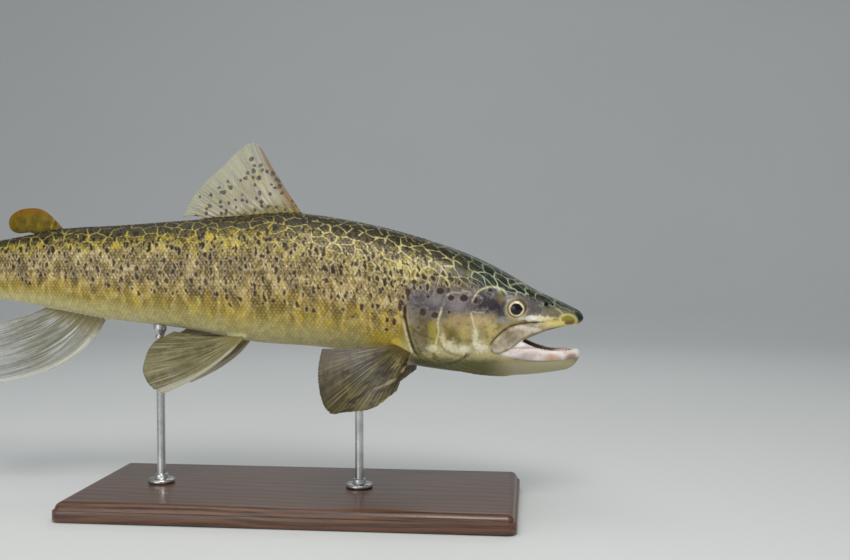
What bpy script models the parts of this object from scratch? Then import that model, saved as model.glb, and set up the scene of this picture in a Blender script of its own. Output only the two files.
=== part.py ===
"""Brown trout (Salmo trutta), a large male, as a still life-size museum model.

The fish swims level with its mouth open, held above a flat board by two short
rods.  Metres, +Z up, +X towards the head, the fish's right side faces -Y.  The
origin is the middle of the underside of the board.

Every piece of the body is read from one set of body curves.  Lengths along the
body are given in millimetres back from the tip of the snout ("s"), heights in
millimetres above the underside of the board ("z").
"""
import math

import bmesh
import bpy
import numpy as np

# ------------------------------------------------------------------ sizes (mm)
MM = 0.001
SNOUT_X = 0.270            # x of the tip of the snout, metres
GAP = 0.35                 # clearance between neighbouring pieces
HEAD_END = 165.0           # head / trunk parting
VENT = 456.0               # trunk / tail stalk parting
TAIL_BASE = 610.0          # tail stalk / tail fin parting
TAIL_BEND_START = 360.0    # the tail swings gently to the fish's left from here
TAIL_BEND = 24.0           # sideways swing at 700 mm back from the snout

# Body stations: s, back height, belly height, half width, height of widest point
STATIONS = (
    (0, 186.5, 137.0, 12.5, 176),      # snout tip
    (20, 196.8, 133.2, 18.2, 175),     # nostrils
    (41, 206.2, 130.1, 23.6, 174),
    (62, 218.2, 128.4, 28.4, 175),     # eye
    (80, 228.3, 128.5, 31.6, 177),
    (100, 238.1, 129.5, 34.3, 180),    # cheek
    (130, 249.6, 132.2, 37.2, 188),    # gill cover
    (160, 258.9, 136.4, 37.8, 198),
    (200, 269.0, 143.9, 37.4, 209),    # shoulder
    (240, 276.4, 152.0, 37.0, 215),
    (270, 279.9, 154.4, 36.6, 218),    # front of dorsal fin
    (320, 277.3, 158.2, 35.0, 220),    # pelvic fins
    (365, 274.3, 166.6, 31.6, 222),    # end of dorsal fin
    (410, 271.2, 172.6, 27.4, 223.5),
    (456, 268.2, 177.4, 22.0, 224.5),  # vent
    (506, 265.4, 186.1, 16.2, 225.5),  # adipose fin
    (530, 261.8, 189.8, 13.6, 225),
    (570, 254.8, 195.0, 9.4, 224.5),
    (592, 252.6, 196.0, 7.4, 224),     # narrowest part of the stalk
    (610, 253.6, 194.0, 6.0, 223.5),   # base of the tail fin
)
# Roundness of the sections: exponent above and below the widest point
ROUNDNESS = ((0, 2.2, 2.4), (60, 2.5, 2.4), (130, 2.4, 2.1), (200, 2.15, 2.1),
             (456, 2.1, 2.2), (610, 2.0, 2.0))

EYE_S, EYE_Z = 62.4, 191.8        # centre of the eye
EYE_RADIUS, EYE_DEPTH = 11.0, 6.5  # lens-shaped eyeball, mostly under the skin
EYE_Y = 24.3

# Mouth: edge of the upper jaw, edge of the lower jaw, and the seam behind them
UPPER_LIP = ((-12, 181.5), (0, 180.2), (4.5, 177.4), (13.7, 176.4), (24, 174.3),
             (34.5, 171.5), (46, 167.3), (57.3, 162.2))
LOWER_LIP = ((56.9, 161.7), (50, 158.2), (44, 155.9), (36, 153.6), (28, 152.6),
             (13.5, 152.6), (4.8, 151.0), (2.0, 149.5), (-12, 149.5))
JAW_SEAM = ((57.3, 162.2), (64, 157), (72, 152.6), (80, 149.6), (90, 140),
            (97.5, 126), (97.5, 110))
JAW_TIP = 3.5
# Hollow of the mouth: s, roof, floor, half width
MOUTH = ((9, 172, 157, 1.2), (13, 180.5, 147.5, 9.0), (30, 184, 142, 15.0), (45, 182.5, 143, 19.0),
         (57, 178, 147, 20.5), (68, 172, 155, 15.0), (76, 167, 161, 4.0))
TONGUE = ((15, 3.0, 2.2), (19, 6.0, 3.2), (30, 8.6, 4.0), (45, 9.6, 4.6), (58, 9.6, 4.4), (64, 7.5, 3.0))
TOOTH_H, TOOTH_R = 2.6, 0.85

# Gill cover outline and upper jaw bone outline on the side of the head (s, z)
GILL_COVER = ((108, 209), (122, 216), (137, 217.6), (150, 213.5), (158.6, 205.5),
              (162.6, 191), (161.2, 177), (158.2, 163), (153.6, 149.5), (144.5, 140.6),
              (130, 139.5), (114, 144.5), (104, 156), (99.5, 174), (101, 193))
MAXILLA = ((18.5, 180.2), (37, 178.6), (54.5, 177.8), (66, 175.4), (75, 169.6), (82.8, 161.4),
           (85.6, 154.2), (80, 150.6), (72, 153.0), (64, 157.6), (57, 163.4),
           (46, 168.8), (34.5, 173.0), (24, 175.8))

# ------------------------------------------------------------ smooth curves
def spline(xs, ys):
    """Natural cubic spline through the given stations, as a function of s."""
    x = np.array(xs, float)
    y = np.array(ys, float)
    n = len(x)
    h = np.diff(x)
    a = np.zeros((n, n))
    r = np.zeros(n)
    a[0, 0] = a[-1, -1] = 1.0
    for i in range(1, n - 1):
        a[i, i - 1], a[i, i], a[i, i + 1] = h[i - 1], 2 * (h[i - 1] + h[i]), h[i]
        r[i] = 6 * ((y[i + 1] - y[i]) / h[i] - (y[i] - y[i - 1]) / h[i - 1])
    m = np.linalg.solve(a, r)

    def f(s):
        s = np.clip(np.asarray(s, float), x[0], x[-1])
        i = np.clip(np.searchsorted(x, s, side="right") - 1, 0, n - 2)
        u, v = x[i + 1] - s, s - x[i]
        return ((m[i] * u ** 3 + m[i + 1] * v ** 3) / (6 * h[i])
                + (y[i] / h[i] - m[i] * h[i] / 6) * u + (y[i + 1] / h[i] - m[i + 1] * h[i] / 6) * v)
    return f


def column(table, k):
    return spline([row[0] for row in table], [row[k] for row in table])


back_curve, belly_curve = column(STATIONS, 1), column(STATIONS, 2)
half_curve, widest_curve = column(STATIONS, 3), column(STATIONS, 4)
round_top, round_low = column(ROUNDNESS, 1), column(ROUNDNESS, 2)


def nose(s, start, length):
    """0 at a blunt end, rising on a quarter circle to 1 over the given length."""
    u = np.clip((np.asarray(s, float) - start) / length, 0, 1)
    return np.sqrt(1 - (1 - u) ** 2)


def back(s):
    return back_curve(s) - 6.5 * (1 - nose(s, 0, 6))


def belly(s):
    return belly_curve(s)


def half(s):
    return half_curve(s) * nose(s, 0, 16)


def side(s, z, grow=0.0):
    """Half width of the body at distance s and height z."""
    zc = widest_curve(s)
    top, low = back(s) - zc, zc - belly(s)
    t = np.where(z > zc, (z - zc) / top, (zc - z) / low)
    p = np.where(z > zc, round_top(s), round_low(s))
    return half(s) * np.clip(1 - np.clip(t, 0, 1) ** p, 0, 1) ** (1 / p) + grow


def under(s, y):
    """Height of the underside of the body at distance s and y off the middle."""
    zc, p = widest_curve(s), round_low(s)
    return zc - (zc - belly(s)) * np.clip(1 - (abs(y) / half(s)) ** p, 0, 1) ** (1 / p)


def normal(s, z):
    """Outward unit normal of the left side of the body (s, y, z axes)."""
    e = 0.5
    ds = (side(s + e, z) - side(s - e, z)) / (2 * e)
    dz = (side(s, z + e) - side(s, z - e)) / (2 * e)
    n = np.array([-ds, 1.0, -dz])
    return n / np.linalg.norm(n)


def place(p):
    """(s, y, z) in millimetres to world metres, with the gentle bend of the tail."""
    s, y, z = p
    t = max(0.0, (s - TAIL_BEND_START) / (700.0 - TAIL_BEND_START))
    return (SNOUT_X - s * MM, (y + TAIL_BEND * t * t) * MM, z * MM)


# ------------------------------------------------------------- mesh helpers
def clear():
    for ob in list(bpy.data.objects):
        bpy.data.objects.remove(ob, do_unlink=True)


def finish_mesh(name, bm, smooth=40.0):
    bmesh.ops.recalc_face_normals(bm, faces=bm.faces)
    if bm.calc_volume(signed=True) < 0:
        bmesh.ops.reverse_faces(bm, faces=bm.faces)
    mesh = bpy.data.meshes.new(name)
    bm.to_mesh(mesh)
    bm.free()
    mesh.shade_smooth()
    mesh.set_sharp_from_angle(angle=math.radians(smooth))
    ob = bpy.data.objects.new(name, mesh)
    bpy.context.scene.collection.objects.link(ob)
    return ob


def loft(name, rings, bent=True):
    """Closed solid through rings of (s, y, z) points, with flat ends."""
    bm = bmesh.new()
    rows = [[bm.verts.new(place(p) if bent else p) for p in ring] for ring in rings]
    for r0, r1 in zip(rows, rows[1:]):
        n = len(r0)
        for i in range(n):
            j = (i + 1) % n
            bm.faces.new((r0[i], r0[j], r1[j], r1[i]))
    bm.faces.new(rows[0])
    bm.faces.new(list(reversed(rows[-1])))
    return finish_mesh(name, bm)


def ring(s, a, top, low, zc, pt, pl, n):
    pts = []
    for i in range(n):
        t = 2 * math.pi * i / n
        c, d = math.cos(t), math.sin(t)
        p = pt if c >= 0 else pl
        b = (top - zc) if c >= 0 else (zc - low)
        pts.append((s, a * math.copysign(abs(d) ** (2 / p), d), zc + b * math.copysign(abs(c) ** (2 / p), c)))
    return pts


def body_ring(s, n, grow=0.0):
    return ring(s, float(half(s)) + grow, float(back(s)) + grow, float(belly(s)) - grow,
                float(widest_curve(s)), float(round_top(s)), float(round_low(s)), n)


def spaced(a, b, step):
    n = max(1, int(round((b - a) / step)))
    return [a + (b - a) * i / n for i in range(n + 1)]


def prism(name, outline, reach=70.0):
    """Outline on the side view, drawn out to both sides as a cutter."""
    bm = bmesh.new()
    near = [bm.verts.new(place((s, -reach, z))) for s, z in outline]
    far = [bm.verts.new(place((s, reach, z))) for s, z in outline]
    n = len(outline)
    for i in range(n):
        j = (i + 1) % n
        bm.faces.new((near[i], near[j], far[j], far[i]))
    bm.faces.new(list(reversed(near)))
    bm.faces.new(far)
    return finish_mesh(name, bm)


def guide(ob):
    ob.hide_render = True
    ob.display_type = "WIRE"
    return ob


def boolean(ob, cutter, operation):
    m = ob.modifiers.new(operation.lower() + "_" + cutter.name, "BOOLEAN")
    m.operation = operation
    m.solver = "EXACT"
    m.object = cutter
    return m


def closed_curve(points, count):
    """Evenly stepped points on a smooth closed curve through the outline."""
    pts = np.array(points, float)
    n = len(pts)
    out = []
    for k in range(count):
        u = k * n / count
        i, t = int(u), u - int(u)
        p0, p1, p2, p3 = (pts[(i + d) % n] for d in (-1, 0, 1, 2))
        out.append(0.5 * (2 * p1 + (p2 - p0) * t + (2 * p0 - 5 * p1 + 4 * p2 - p3) * t * t
                          + (3 * p1 - p0 - 3 * p2 + p3) * t ** 3))
    return np.array(out)


def widen(outline, d):
    """Push a closed outline outwards by d."""
    nxt, prv = np.roll(outline, -1, 0), np.roll(outline, 1, 0)
    t = nxt - prv
    n = np.stack([t[:, 1], -t[:, 0]], 1)
    n /= np.linalg.norm(n, axis=1)[:, None]
    area = np.sum(outline[:, 0] * nxt[:, 1] - nxt[:, 0] * outline[:, 1])
    return outline + n * d * (1 if area > 0 else -1)


def plate(name, outline, inner, outer, sign, rings=(0.0, 0.45, 0.88, 1.0), edge=None):
    """A curved plate on the side of the head: a disc of points laid on the body,
    from `inner` to `outer` along the skin's normal."""
    centre = outline.mean(0)
    bm = bmesh.new()
    layers = []
    for level, off in enumerate((inner, outer)):
        rows = []
        for f in rings:
            pts = [centre] if f == 0 else [centre + (q - centre) * f for q in outline]
            row = []
            for s, z in pts:
                nrm = normal(s, z)
                o = off if (edge is None or f < 1.0 or level == 0) else edge
                p = np.array([s, float(side(s, z)), z]) + nrm * o
                row.append(bm.verts.new(place((p[0], sign * p[1], p[2]))))
            rows.append(row)
        layers.append(rows)
    for rows in layers:
        for j in range(len(rows[1])):
            k = (j + 1) % len(rows[1])
            bm.faces.new((rows[0][0], rows[1][j], rows[1][k]))
        for r0, r1 in zip(rows[1:], rows[2:]):
            for j in range(len(r0)):
                k = (j + 1) % len(r0)
                bm.faces.new((r0[j], r1[j], r1[k], r0[k]))
    a, b = layers[0][-1], layers[1][-1]
    for j in range(len(a)):
        k = (j + 1) % len(a)
        bm.faces.new((a[j], a[k], b[k], b[j]))
    return finish_mesh(name, bm)


def ellipsoid(name, centre, radii, sign, segments=16, rows=8):
    bm = bmesh.new()
    bmesh.ops.create_uvsphere(bm, u_segments=segments, v_segments=rows, radius=1.0)
    for v in bm.verts:
        # poles of the sphere point sideways, along y
        x, y, z = v.co
        v.co = place((centre[0] + radii[0] * x, sign * (centre[1] + radii[1] * z), centre[2] + radii[2] * y))
    return finish_mesh(name, bm, 60)


# -------------------------------------------------------------------- fins
def fan(name, base, tips, root_front, root_rear, reach=0.42, rays=12, rows=7,
        thick=(1.6, 0.6), sign=1, crook=0.0):
    """A fin: rays run from a base line to the tips, each on a bent path.
    `root_front` and `root_rear` are the directions in which the first and last
    rays leave the body."""
    keys = [t[0] for t in tips]
    fs, fy, fz = (spline(keys, [t[1][k] for t in tips]) for k in range(3))
    grid = np.zeros((rays + 1, rows + 1, 3))
    for i in range(rays + 1):
        u = i / rays
        p0 = np.array(base(u), float)
        p2 = np.array([float(fs(u)), float(fy(u)), float(fz(u))])
        d = np.array(root_front, float) * (1 - u) + np.array(root_rear, float) * u
        d /= np.linalg.norm(d)
        p1 = p0 + d * np.linalg.norm(p2 - p0) * reach
        for j in range(rows + 1):
            v = j / rows
            grid[i, j] = p0 * (1 - v) ** 2 + 2 * p1 * v * (1 - v) + p2 * v * v
    gu, gv = np.gradient(grid, axis=0), np.gradient(grid, axis=1)
    nrm = np.cross(gu, gv)
    nrm /= np.linalg.norm(nrm, axis=2)[:, :, None]
    bm = bmesh.new()
    sides = []
    for k in (-1, 1):
        rowsv = []
        for i in range(rays + 1):
            edge = 1.0 if 0 < i < rays else 0.6
            row = []
            for j in range(rows + 1):
                h = 0.5 * (thick[0] + (thick[1] - thick[0]) * (j / rows) ** 0.8)
                h = max(h * edge, 0.3)
                p = grid[i, j] + nrm[i, j] * h * k
                row.append(bm.verts.new(place((p[0], sign * p[1], p[2]))))
            rowsv.append(row)
        sides.append(rowsv)
    for g in sides:
        for i in range(rays):
            for j in range(rows):
                bm.faces.new((g[i][j], g[i + 1][j], g[i + 1][j + 1], g[i][j + 1]))
    rim = ([(i, 0) for i in range(rays)] + [(rays, j) for j in range(rows)]
           + [(i, rows) for i in range(rays, 0, -1)] + [(0, j) for j in range(rows, 0, -1)])
    for a, b in zip(rim, rim[1:] + rim[:1]):
        bm.faces.new((sides[0][a[0]][a[1]], sides[0][b[0]][b[1]], sides[1][b[0]][b[1]], sides[1][a[0]][a[1]]))
    return finish_mesh(name, bm, 50)


def along_back(s0, s1):
    return lambda u: (s0 + (s1 - s0) * u, 0.0, float(back(s0 + (s1 - s0) * u)) + GAP + 0.1)


def along_belly(s0, s1):
    return lambda u: (s0 + (s1 - s0) * u, 0.0, float(belly(s0 + (s1 - s0) * u)) - GAP - 0.1)


def on_side(a, b, lift):
    """Base line on the side of the body between two (s, z) points."""
    def f(u):
        s, z = a[0] + (b[0] - a[0]) * u, a[1] + (b[1] - a[1]) * u
        p = np.array([s, float(side(s, z)), z]) + normal(s, z) * lift
        return tuple(p)
    return f


def on_belly(a, b, lift):
    """Base line on the underside of the body between two (s, y) points."""
    def f(u):
        s, y = a[0] + (b[0] - a[0]) * u, a[1] + (b[1] - a[1]) * u
        z = float(under(s, y))
        return tuple(np.array([s, y, z]) + normal(s, z + 0.01) * lift)
    return f


def leaf(name, outline, thick, rings=(0.0, 0.5, 0.82, 1.0), rim=0.6):
    """A soft rounded fin in the middle plane: thickest in its middle."""
    centre = outline.mean(0)
    bm = bmesh.new()
    layers = []
    for k in (-1, 1):
        rows = []
        for f in rings:
            pts = [centre] if f == 0 else [centre + (q - centre) * f for q in outline]
            h = 0.5 * (rim + (thick - rim) * math.sqrt(1 - f * f))
            rows.append([bm.verts.new(place((s, k * h, z))) for s, z in pts])
        layers.append(rows)
    for rows in layers:
        m = len(rows[1])
        for j in range(m):
            bm.faces.new((rows[0][0], rows[1][j], rows[1][(j + 1) % m]))
        for r0, r1 in zip(rows[1:], rows[2:]):
            for j in range(m):
                k = (j + 1) % m
                bm.faces.new((r0[j], r1[j], r1[k], r0[k]))
    a, b = layers[0][-1], layers[1][-1]
    for j in range(len(a)):
        k = (j + 1) % len(a)
        bm.faces.new((a[j], a[k], b[k], b[j]))
    return finish_mesh(name, bm, 60)


# --------------------------------------------------------------- materials
def paint(ob, name, rgb, rough=0.35, metal=0.0):
    mat = bpy.data.materials.get(name) or bpy.data.materials.new(name)
    mat.use_nodes = True
    b = mat.node_tree.nodes["Principled BSDF"]
    b.inputs["Base Color"].default_value = (*rgb, 1)
    b.inputs["Roughness"].default_value = rough
    b.inputs["Metallic"].default_value = metal
    mat.diffuse_color = (*rgb, 1)
    ob.data.materials.clear()
    ob.data.materials.append(mat)
    return ob


# -------------------------------------------------------------------- body
def build_head():
    stations = [0.1, 0.8, 2.2, 4.4, 8.0, 13.0] + spaced(20, HEAD_END, 8.6)
    head = loft("head", [body_ring(s, 28) for s in stations])

    jaw_space = guide(prism("jaw_space", list(UPPER_LIP) + list(JAW_SEAM)[1:] + [(-12, 110)]))
    boolean(head, jaw_space, "DIFFERENCE")

    rings = []
    for (s, roof, floor, w) in MOUTH:
        mid = 0.5 * (roof + floor)
        rings.append(ring(s, w, roof, floor, mid, 2.3, 2.3, 16))
    hollow = guide(loft("mouth_hollow", rings))
    boolean(head, hollow, "DIFFERENCE")

    # lower jaw: the same head sections drawn in towards the chin
    def jaw_ring(s):
        k = 0.86 + 0.14 * min(1.0, max(0.0, (s - 20) / 32.0))
        a = float(half_curve(s)) * k * float(nose(s, JAW_TIP - 0.1, 14))
        low = float(belly(s)) + 9.0 * (1 - float(nose(s, JAW_TIP - 0.1, 8)))
        return ring(s, a, float(back(s)), low, float(widest_curve(s)),
                    float(round_top(s)), float(round_low(s)), 28)
    jaw = loft("lower_jaw", [jaw_ring(s) for s in [JAW_TIP, 4.3, 6.2, 9.5, 14] + spaced(20, 104, 8.4)])
    seam = [(s - 0.35, z - 0.3) for s, z in JAW_SEAM]
    region = guide(prism("jaw_region", [p for p in reversed(LOWER_LIP)] + seam[1:] + [(-12, 110)]))
    boolean(jaw, region, "INTERSECT")
    boolean(jaw, hollow, "DIFFERENCE")

    # tongue, lying just above the floor of the mouth
    def floor_at(s):
        return np.interp(s, [m[0] for m in MOUTH], [m[2] for m in MOUTH])
    rows = []
    for s, w, h in TONGUE:
        z0 = float(floor_at(s)) + 1.3
        rows.append(ring(s, w, z0 + 2 * h, z0, z0 + h, 2.0, 2.2, 12))
    tongue = loft("tongue", rows)

    # teeth: a row of short cones along each jaw edge, fused to its jaw
    lip_up = spline([p[0] for p in UPPER_LIP], [p[1] for p in UPPER_LIP])
    low = sorted(LOWER_LIP)
    lip_low = spline([p[0] for p in low], [p[1] for p in low])
    for jaw_ob, edge_at, sgn, shrink, count in ((head, lip_up, -1, 3.4, 7), (jaw, lip_low, 1, 4.0, 6)):
        bm = bmesh.new()
        for q in range(count):
            s = 8.5 + 5.6 * q + (1.5 if sgn > 0 else 0)
            z = float(edge_at(s))
            if sgn < 0:
                w = float(side(s, z)) - shrink
            else:
                k = 0.86 + 0.14 * min(1.0, max(0.0, (s - 20) / 32.0))
                w = float(half_curve(s)) * k * float(nose(s, JAW_TIP, 14)) - shrink
            for y in (-w, w):
                tip = bm.verts.new(place((s + 0.7, y, z + sgn * TOOTH_H)))
                foot = [bm.verts.new(place((s + TOOTH_R * math.cos(a), y + TOOTH_R * math.sin(a), z - sgn * 1.6)))
                        for a in (math.pi / 3 * i for i in range(6))]
                for i in range(6):
                    bm.faces.new((foot[i], foot[(i + 1) % 6], tip))
                bm.faces.new(list(reversed(foot)))
        teeth = guide(finish_mesh("teeth_for_" + jaw_ob.name, bm, 60))
        boolean(jaw_ob, teeth, "UNION")

    outline = closed_curve(GILL_COVER, 24)
    jawbone = closed_curve(MAXILLA, 28)
    for tag, sign in (("R", -1), ("L", 1)):
        cut = guide(plate("gill_recess_" + tag, widen(outline, GAP), -3.5, 5.0, sign, rings=(0.0, 0.5, 1.0)))
        boolean(head, cut, "DIFFERENCE")
        cover = plate("gill_cover_" + tag, outline, -3.0, 0.8, sign, edge=0.1)
        paint(cover, "gill_cover_skin", (0.42, 0.38, 0.20))

        socket = guide(ellipsoid("eye_socket_" + tag, (EYE_S, EYE_Y, EYE_Z),
                                 (EYE_RADIUS + GAP, EYE_DEPTH + GAP, EYE_RADIUS + GAP), sign))
        boolean(head, socket, "DIFFERENCE")
        eye = ellipsoid("eye_" + tag, (EYE_S, EYE_Y, EYE_Z), (EYE_RADIUS, EYE_DEPTH, EYE_RADIUS), sign)
        paint(eye, "eye", (0.62, 0.52, 0.30), 0.06)

        bone = plate("maxilla_" + tag, jawbone, GAP + 0.15, 2.3, sign, rings=(0.0, 0.6, 1.0), edge=1.2)
        paint(bone, "jaw_skin", (0.55, 0.47, 0.42))
    paint(head, "head_skin", (0.20, 0.19, 0.09))
    paint(jaw, "jaw_skin", (0.55, 0.47, 0.42))
    paint(tongue, "tongue", (0.62, 0.42, 0.38))


def build_trunk():
    trunk = loft("trunk", [body_ring(s, 28) for s in spaced(HEAD_END + GAP, VENT, 11.2)])
    paint(trunk, "trunk_skin", (0.26, 0.22, 0.09))
    stalk = loft("tail_stalk", [body_ring(s, 24) for s in spaced(VENT + GAP, TAIL_BASE, 11.0)])
    paint(stalk, "trunk_skin", (0.26, 0.22, 0.09))


def build_fins():
    dorsal = fan("dorsal_fin", along_back(267, 361),
                 ((0, (304, 0, 339)), (0.07, (310.5, 0, 346.5)), (0.15, (319, 0, 347.5)), (0.24, (329, 0, 340)),
                  (0.38, (343.5, 0, 326.5)), (0.54, (357.5, 0, 314)), (0.70, (369, 0, 302.7)),
                  (0.86, (377.5, 0, 290)), (1, (384, 0, 276.4))),
                 (0.58, 0, 0.82), (0.86, 0, 0.5), reach=0.45, rays=13, rows=6)
    paint(dorsal, "dorsal_skin", (0.50, 0.45, 0.30))

    anal = fan("anal_fin", along_belly(463, 525),
               ((0, (586, 0, 111)), (0.14, (594, 0, 115)), (0.32, (597, 0, 127)), (0.55, (594, 0, 143)),
                (0.8, (586, 0, 159)), (1, (577, 0, 172))),
               (0.37, 0, -0.92), (0.88, 0, -0.42), reach=0.42, rays=10, rows=7)
    paint(anal, "fin_skin", (0.40, 0.38, 0.26))

    tail = fan("tail_fin", lambda u: (TAIL_BASE + GAP + 0.1, 0.0,
                                      float(back(TAIL_BASE)) - 0.6 + (float(belly(TAIL_BASE)) - float(back(TAIL_BASE)) + 1.2) * u),
               ((0, (688, 0, 304)), (0.06, (698, 0, 299)), (0.2, (698.5, 0, 274)), (0.35, (696, 0, 248)), (0.5, (695, 0, 223)),
                (0.65, (696, 0, 198)), (0.8, (698.5, 0, 172)), (0.94, (698, 0, 147)), (1, (688, 0, 142))),
               (0.78, 0, 0.62), (0.78, 0, -0.62), reach=0.45, rays=16, rows=6, thick=(3.2, 0.7))
    paint(tail, "tail_fin_skin", (0.30, 0.26, 0.14))

    for tag, sign in (("R", -1), ("L", 1)):
        pec = fan("pectoral_fin_" + tag, on_side((159.4, 151.0), (173.2, 158.6), 0.75),
                  ((0, (165.5, 77, 121)), (0.15, (181, 83, 110.5)), (0.35, (204, 82, 103.6)), (0.55, (228, 75, 102.4)),
                   (0.72, (237, 66, 118)), (0.86, (240, 58, 138)), (1, (238, 50, 156))),
                  (0.05, 0.93, -0.36), (0.62, 0.72, -0.05), reach=0.42, rays=11, rows=5, sign=sign)
        paint(pec, "pectoral_skin", (0.27, 0.23, 0.11))
        pel = fan("pelvic_fin_" + tag, on_belly((318.5, 17.0), (332, 12.5), 0.8),
                  ((0, (392.5, 38, 110)), (0.2, (405, 37, 117)), (0.42, (413, 34, 130)), (0.62, (413, 30, 144)),
                   (0.82, (405, 25, 157)), (1, (387, 20, 168))),
                  (0.45, 0.50, -0.74), (0.88, 0.30, -0.02), reach=0.45, rays=8, rows=5, sign=sign)
        paint(pel, "fin_skin", (0.40, 0.38, 0.26))

    # adipose fin: a fleshy lobe whose foot follows the back
    lobe = [(518, 277), (528.5, 284.2), (540, 286), (553, 284.3), (562.5, 278.4), (565.2, 270.5), (562, 264),
            (554.5, 261.2), (542.5, 261.9)]
    foot = [(s, float(back(s)) + GAP + 0.45) for s in (532, 525, 518, 511, 506)]
    adipose = leaf("adipose_fin", closed_curve(lobe + foot, 24), 3.6)
    paint(adipose, "adipose_skin", (0.38, 0.22, 0.05))


# ------------------------------------------------------------------- stand
BOARD = (420.0, 180.0, 18.0)
BOARD_BEVEL = 4.0
ROD_R = 4.0
FLANGE_R, FLANGE_H = 13.0, 4.0
RODS = (("stand_rod_front", 212.0), ("stand_rod_rear", 408.0))


def build_stand():
    bm = bmesh.new()
    bmesh.ops.create_cube(bm, size=1.0)
    for v in bm.verts:
        v.co = (v.co.x * BOARD[0] * MM, v.co.y * BOARD[1] * MM, (v.co.z + 0.5) * BOARD[2] * MM)
    board = finish_mesh("stand_base", bm, 30)
    bev = board.modifiers.new("edge", "BEVEL")
    bev.width = BOARD_BEVEL * MM
    bev.segments = 2
    bev.limit_method = "ANGLE"
    paint(board, "stand_wood", (0.10, 0.055, 0.03), 0.4)

    for name, s in RODS:
        _, y, _ = place((s, 0.0, 0.0))
        x = SNOUT_X - s * MM
        foot = BOARD[2] + 0.3
        top = float(belly(s)) + 8.0
        profile = ((FLANGE_R, foot), (FLANGE_R, foot + FLANGE_H - 1.2), (FLANGE_R - 1.2, foot + FLANGE_H),
                   (ROD_R + 1.0, foot + FLANGE_H), (ROD_R, foot + FLANGE_H + 1.0),
                   (ROD_R, float(belly(s)) - 9.0), (ROD_R + 2.5, float(belly(s)) - 5.5), (ROD_R + 2.5, top))
        bm = bmesh.new()
        seg = 16
        rows = [[bm.verts.new((x + r * MM * math.cos(2 * math.pi * i / seg), y + r * MM * math.sin(2 * math.pi * i / seg), z * MM))
                 for i in range(seg)] for r, z in profile]
        for r0, r1 in zip(rows, rows[1:]):
            for i in range(seg):
                j = (i + 1) % seg
                bm.faces.new((r0[i], r0[j], r1[j], r1[i]))
        bm.faces.new(list(reversed(rows[0])))
        bm.faces.new(rows[-1])
        rod = finish_mesh(name, bm, 35)
        # the cup at the top is cut to the belly, just clear of it
        near = guide(loft("belly_over_" + name, [body_ring(q, 28, 0.45) for q in spaced(s - 28, s + 28, 11.2)]))
        boolean(rod, near, "DIFFERENCE")
        paint(rod, "stand_metal", (0.55, 0.55, 0.56), 0.3, 1.0)


clear()
build_head()
build_trunk()
build_fins()
build_stand()
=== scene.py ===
"""Looks of the brown trout on its display stand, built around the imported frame.

Lengths along the body ("s") are millimetres back from the tip of the snout and
heights ("z") are millimetres above the floor, as in the CAD part.  One closed skin
is drawn from a field over the body curves; scales, fins, eyes, teeth and tongue are
pieces of their own.
"""
import math

import bmesh
import bpy
import numpy as np
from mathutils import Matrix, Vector


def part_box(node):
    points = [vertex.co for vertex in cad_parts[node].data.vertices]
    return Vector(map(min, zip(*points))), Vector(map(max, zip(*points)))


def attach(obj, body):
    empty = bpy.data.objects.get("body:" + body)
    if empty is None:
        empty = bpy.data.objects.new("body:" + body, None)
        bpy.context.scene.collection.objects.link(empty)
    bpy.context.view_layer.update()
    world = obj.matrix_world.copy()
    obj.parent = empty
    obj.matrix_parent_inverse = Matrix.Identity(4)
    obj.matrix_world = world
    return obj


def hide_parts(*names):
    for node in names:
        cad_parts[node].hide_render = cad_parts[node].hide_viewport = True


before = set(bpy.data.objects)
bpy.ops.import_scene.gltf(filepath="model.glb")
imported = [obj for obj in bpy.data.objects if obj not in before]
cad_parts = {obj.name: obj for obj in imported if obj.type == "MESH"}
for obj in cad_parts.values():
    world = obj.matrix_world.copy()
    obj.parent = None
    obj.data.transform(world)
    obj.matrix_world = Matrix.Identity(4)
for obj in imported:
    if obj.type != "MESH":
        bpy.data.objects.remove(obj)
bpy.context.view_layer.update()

MM = 0.001
SNOUT_X = 0.270
TAIL_BEND_START, TAIL_BEND = 360.0, 24.0
TAIL_BASE = 610.0

# ------------------------------------------------------------------ body curves
STATIONS = (
    (0, 186.5, 137.0, 12.5, 176), (20, 196.8, 133.2, 18.2, 175), (41, 206.2, 130.1, 23.6, 174),
    (62, 218.2, 128.4, 28.4, 175), (80, 228.3, 128.5, 31.6, 177), (100, 238.1, 129.5, 34.3, 180),
    (130, 249.6, 132.2, 37.2, 188), (160, 258.9, 136.4, 37.8, 198), (200, 269.0, 143.9, 37.4, 209),
    (240, 276.4, 152.0, 37.0, 215), (270, 279.9, 154.4, 36.6, 218), (320, 277.3, 158.2, 35.0, 220),
    (365, 274.3, 166.6, 31.6, 222), (410, 271.2, 172.6, 27.4, 223.5), (456, 268.2, 177.4, 22.0, 224.5),
    (506, 265.4, 186.1, 16.2, 225.5), (530, 261.8, 189.8, 13.6, 225), (570, 254.8, 195.0, 9.4, 224.5),
    (592, 252.6, 196.0, 7.4, 224), (610, 253.6, 194.0, 6.0, 223.5),
)
ROUNDNESS = ((0, 2.2, 2.4), (60, 2.5, 2.4), (130, 2.4, 2.1), (200, 2.15, 2.1), (456, 2.1, 2.2), (610, 2.0, 2.0))
EYE_S, EYE_Z, EYE_Y = 62.4, 191.8, 24.3
UPPER_LIP = ((-12, 181.5), (0, 180.2), (4.5, 177.4), (13.7, 176.4), (24, 174.3), (34.5, 171.5), (46, 167.3), (57.3, 162.2))
LOWER_LIP = ((57.3, 162.0), (50, 158.2), (44, 155.9), (36, 153.6), (28, 152.6), (13.5, 152.6), (4.8, 151.4), (-12, 150.5))
JAW_TIP = 3.5
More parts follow.
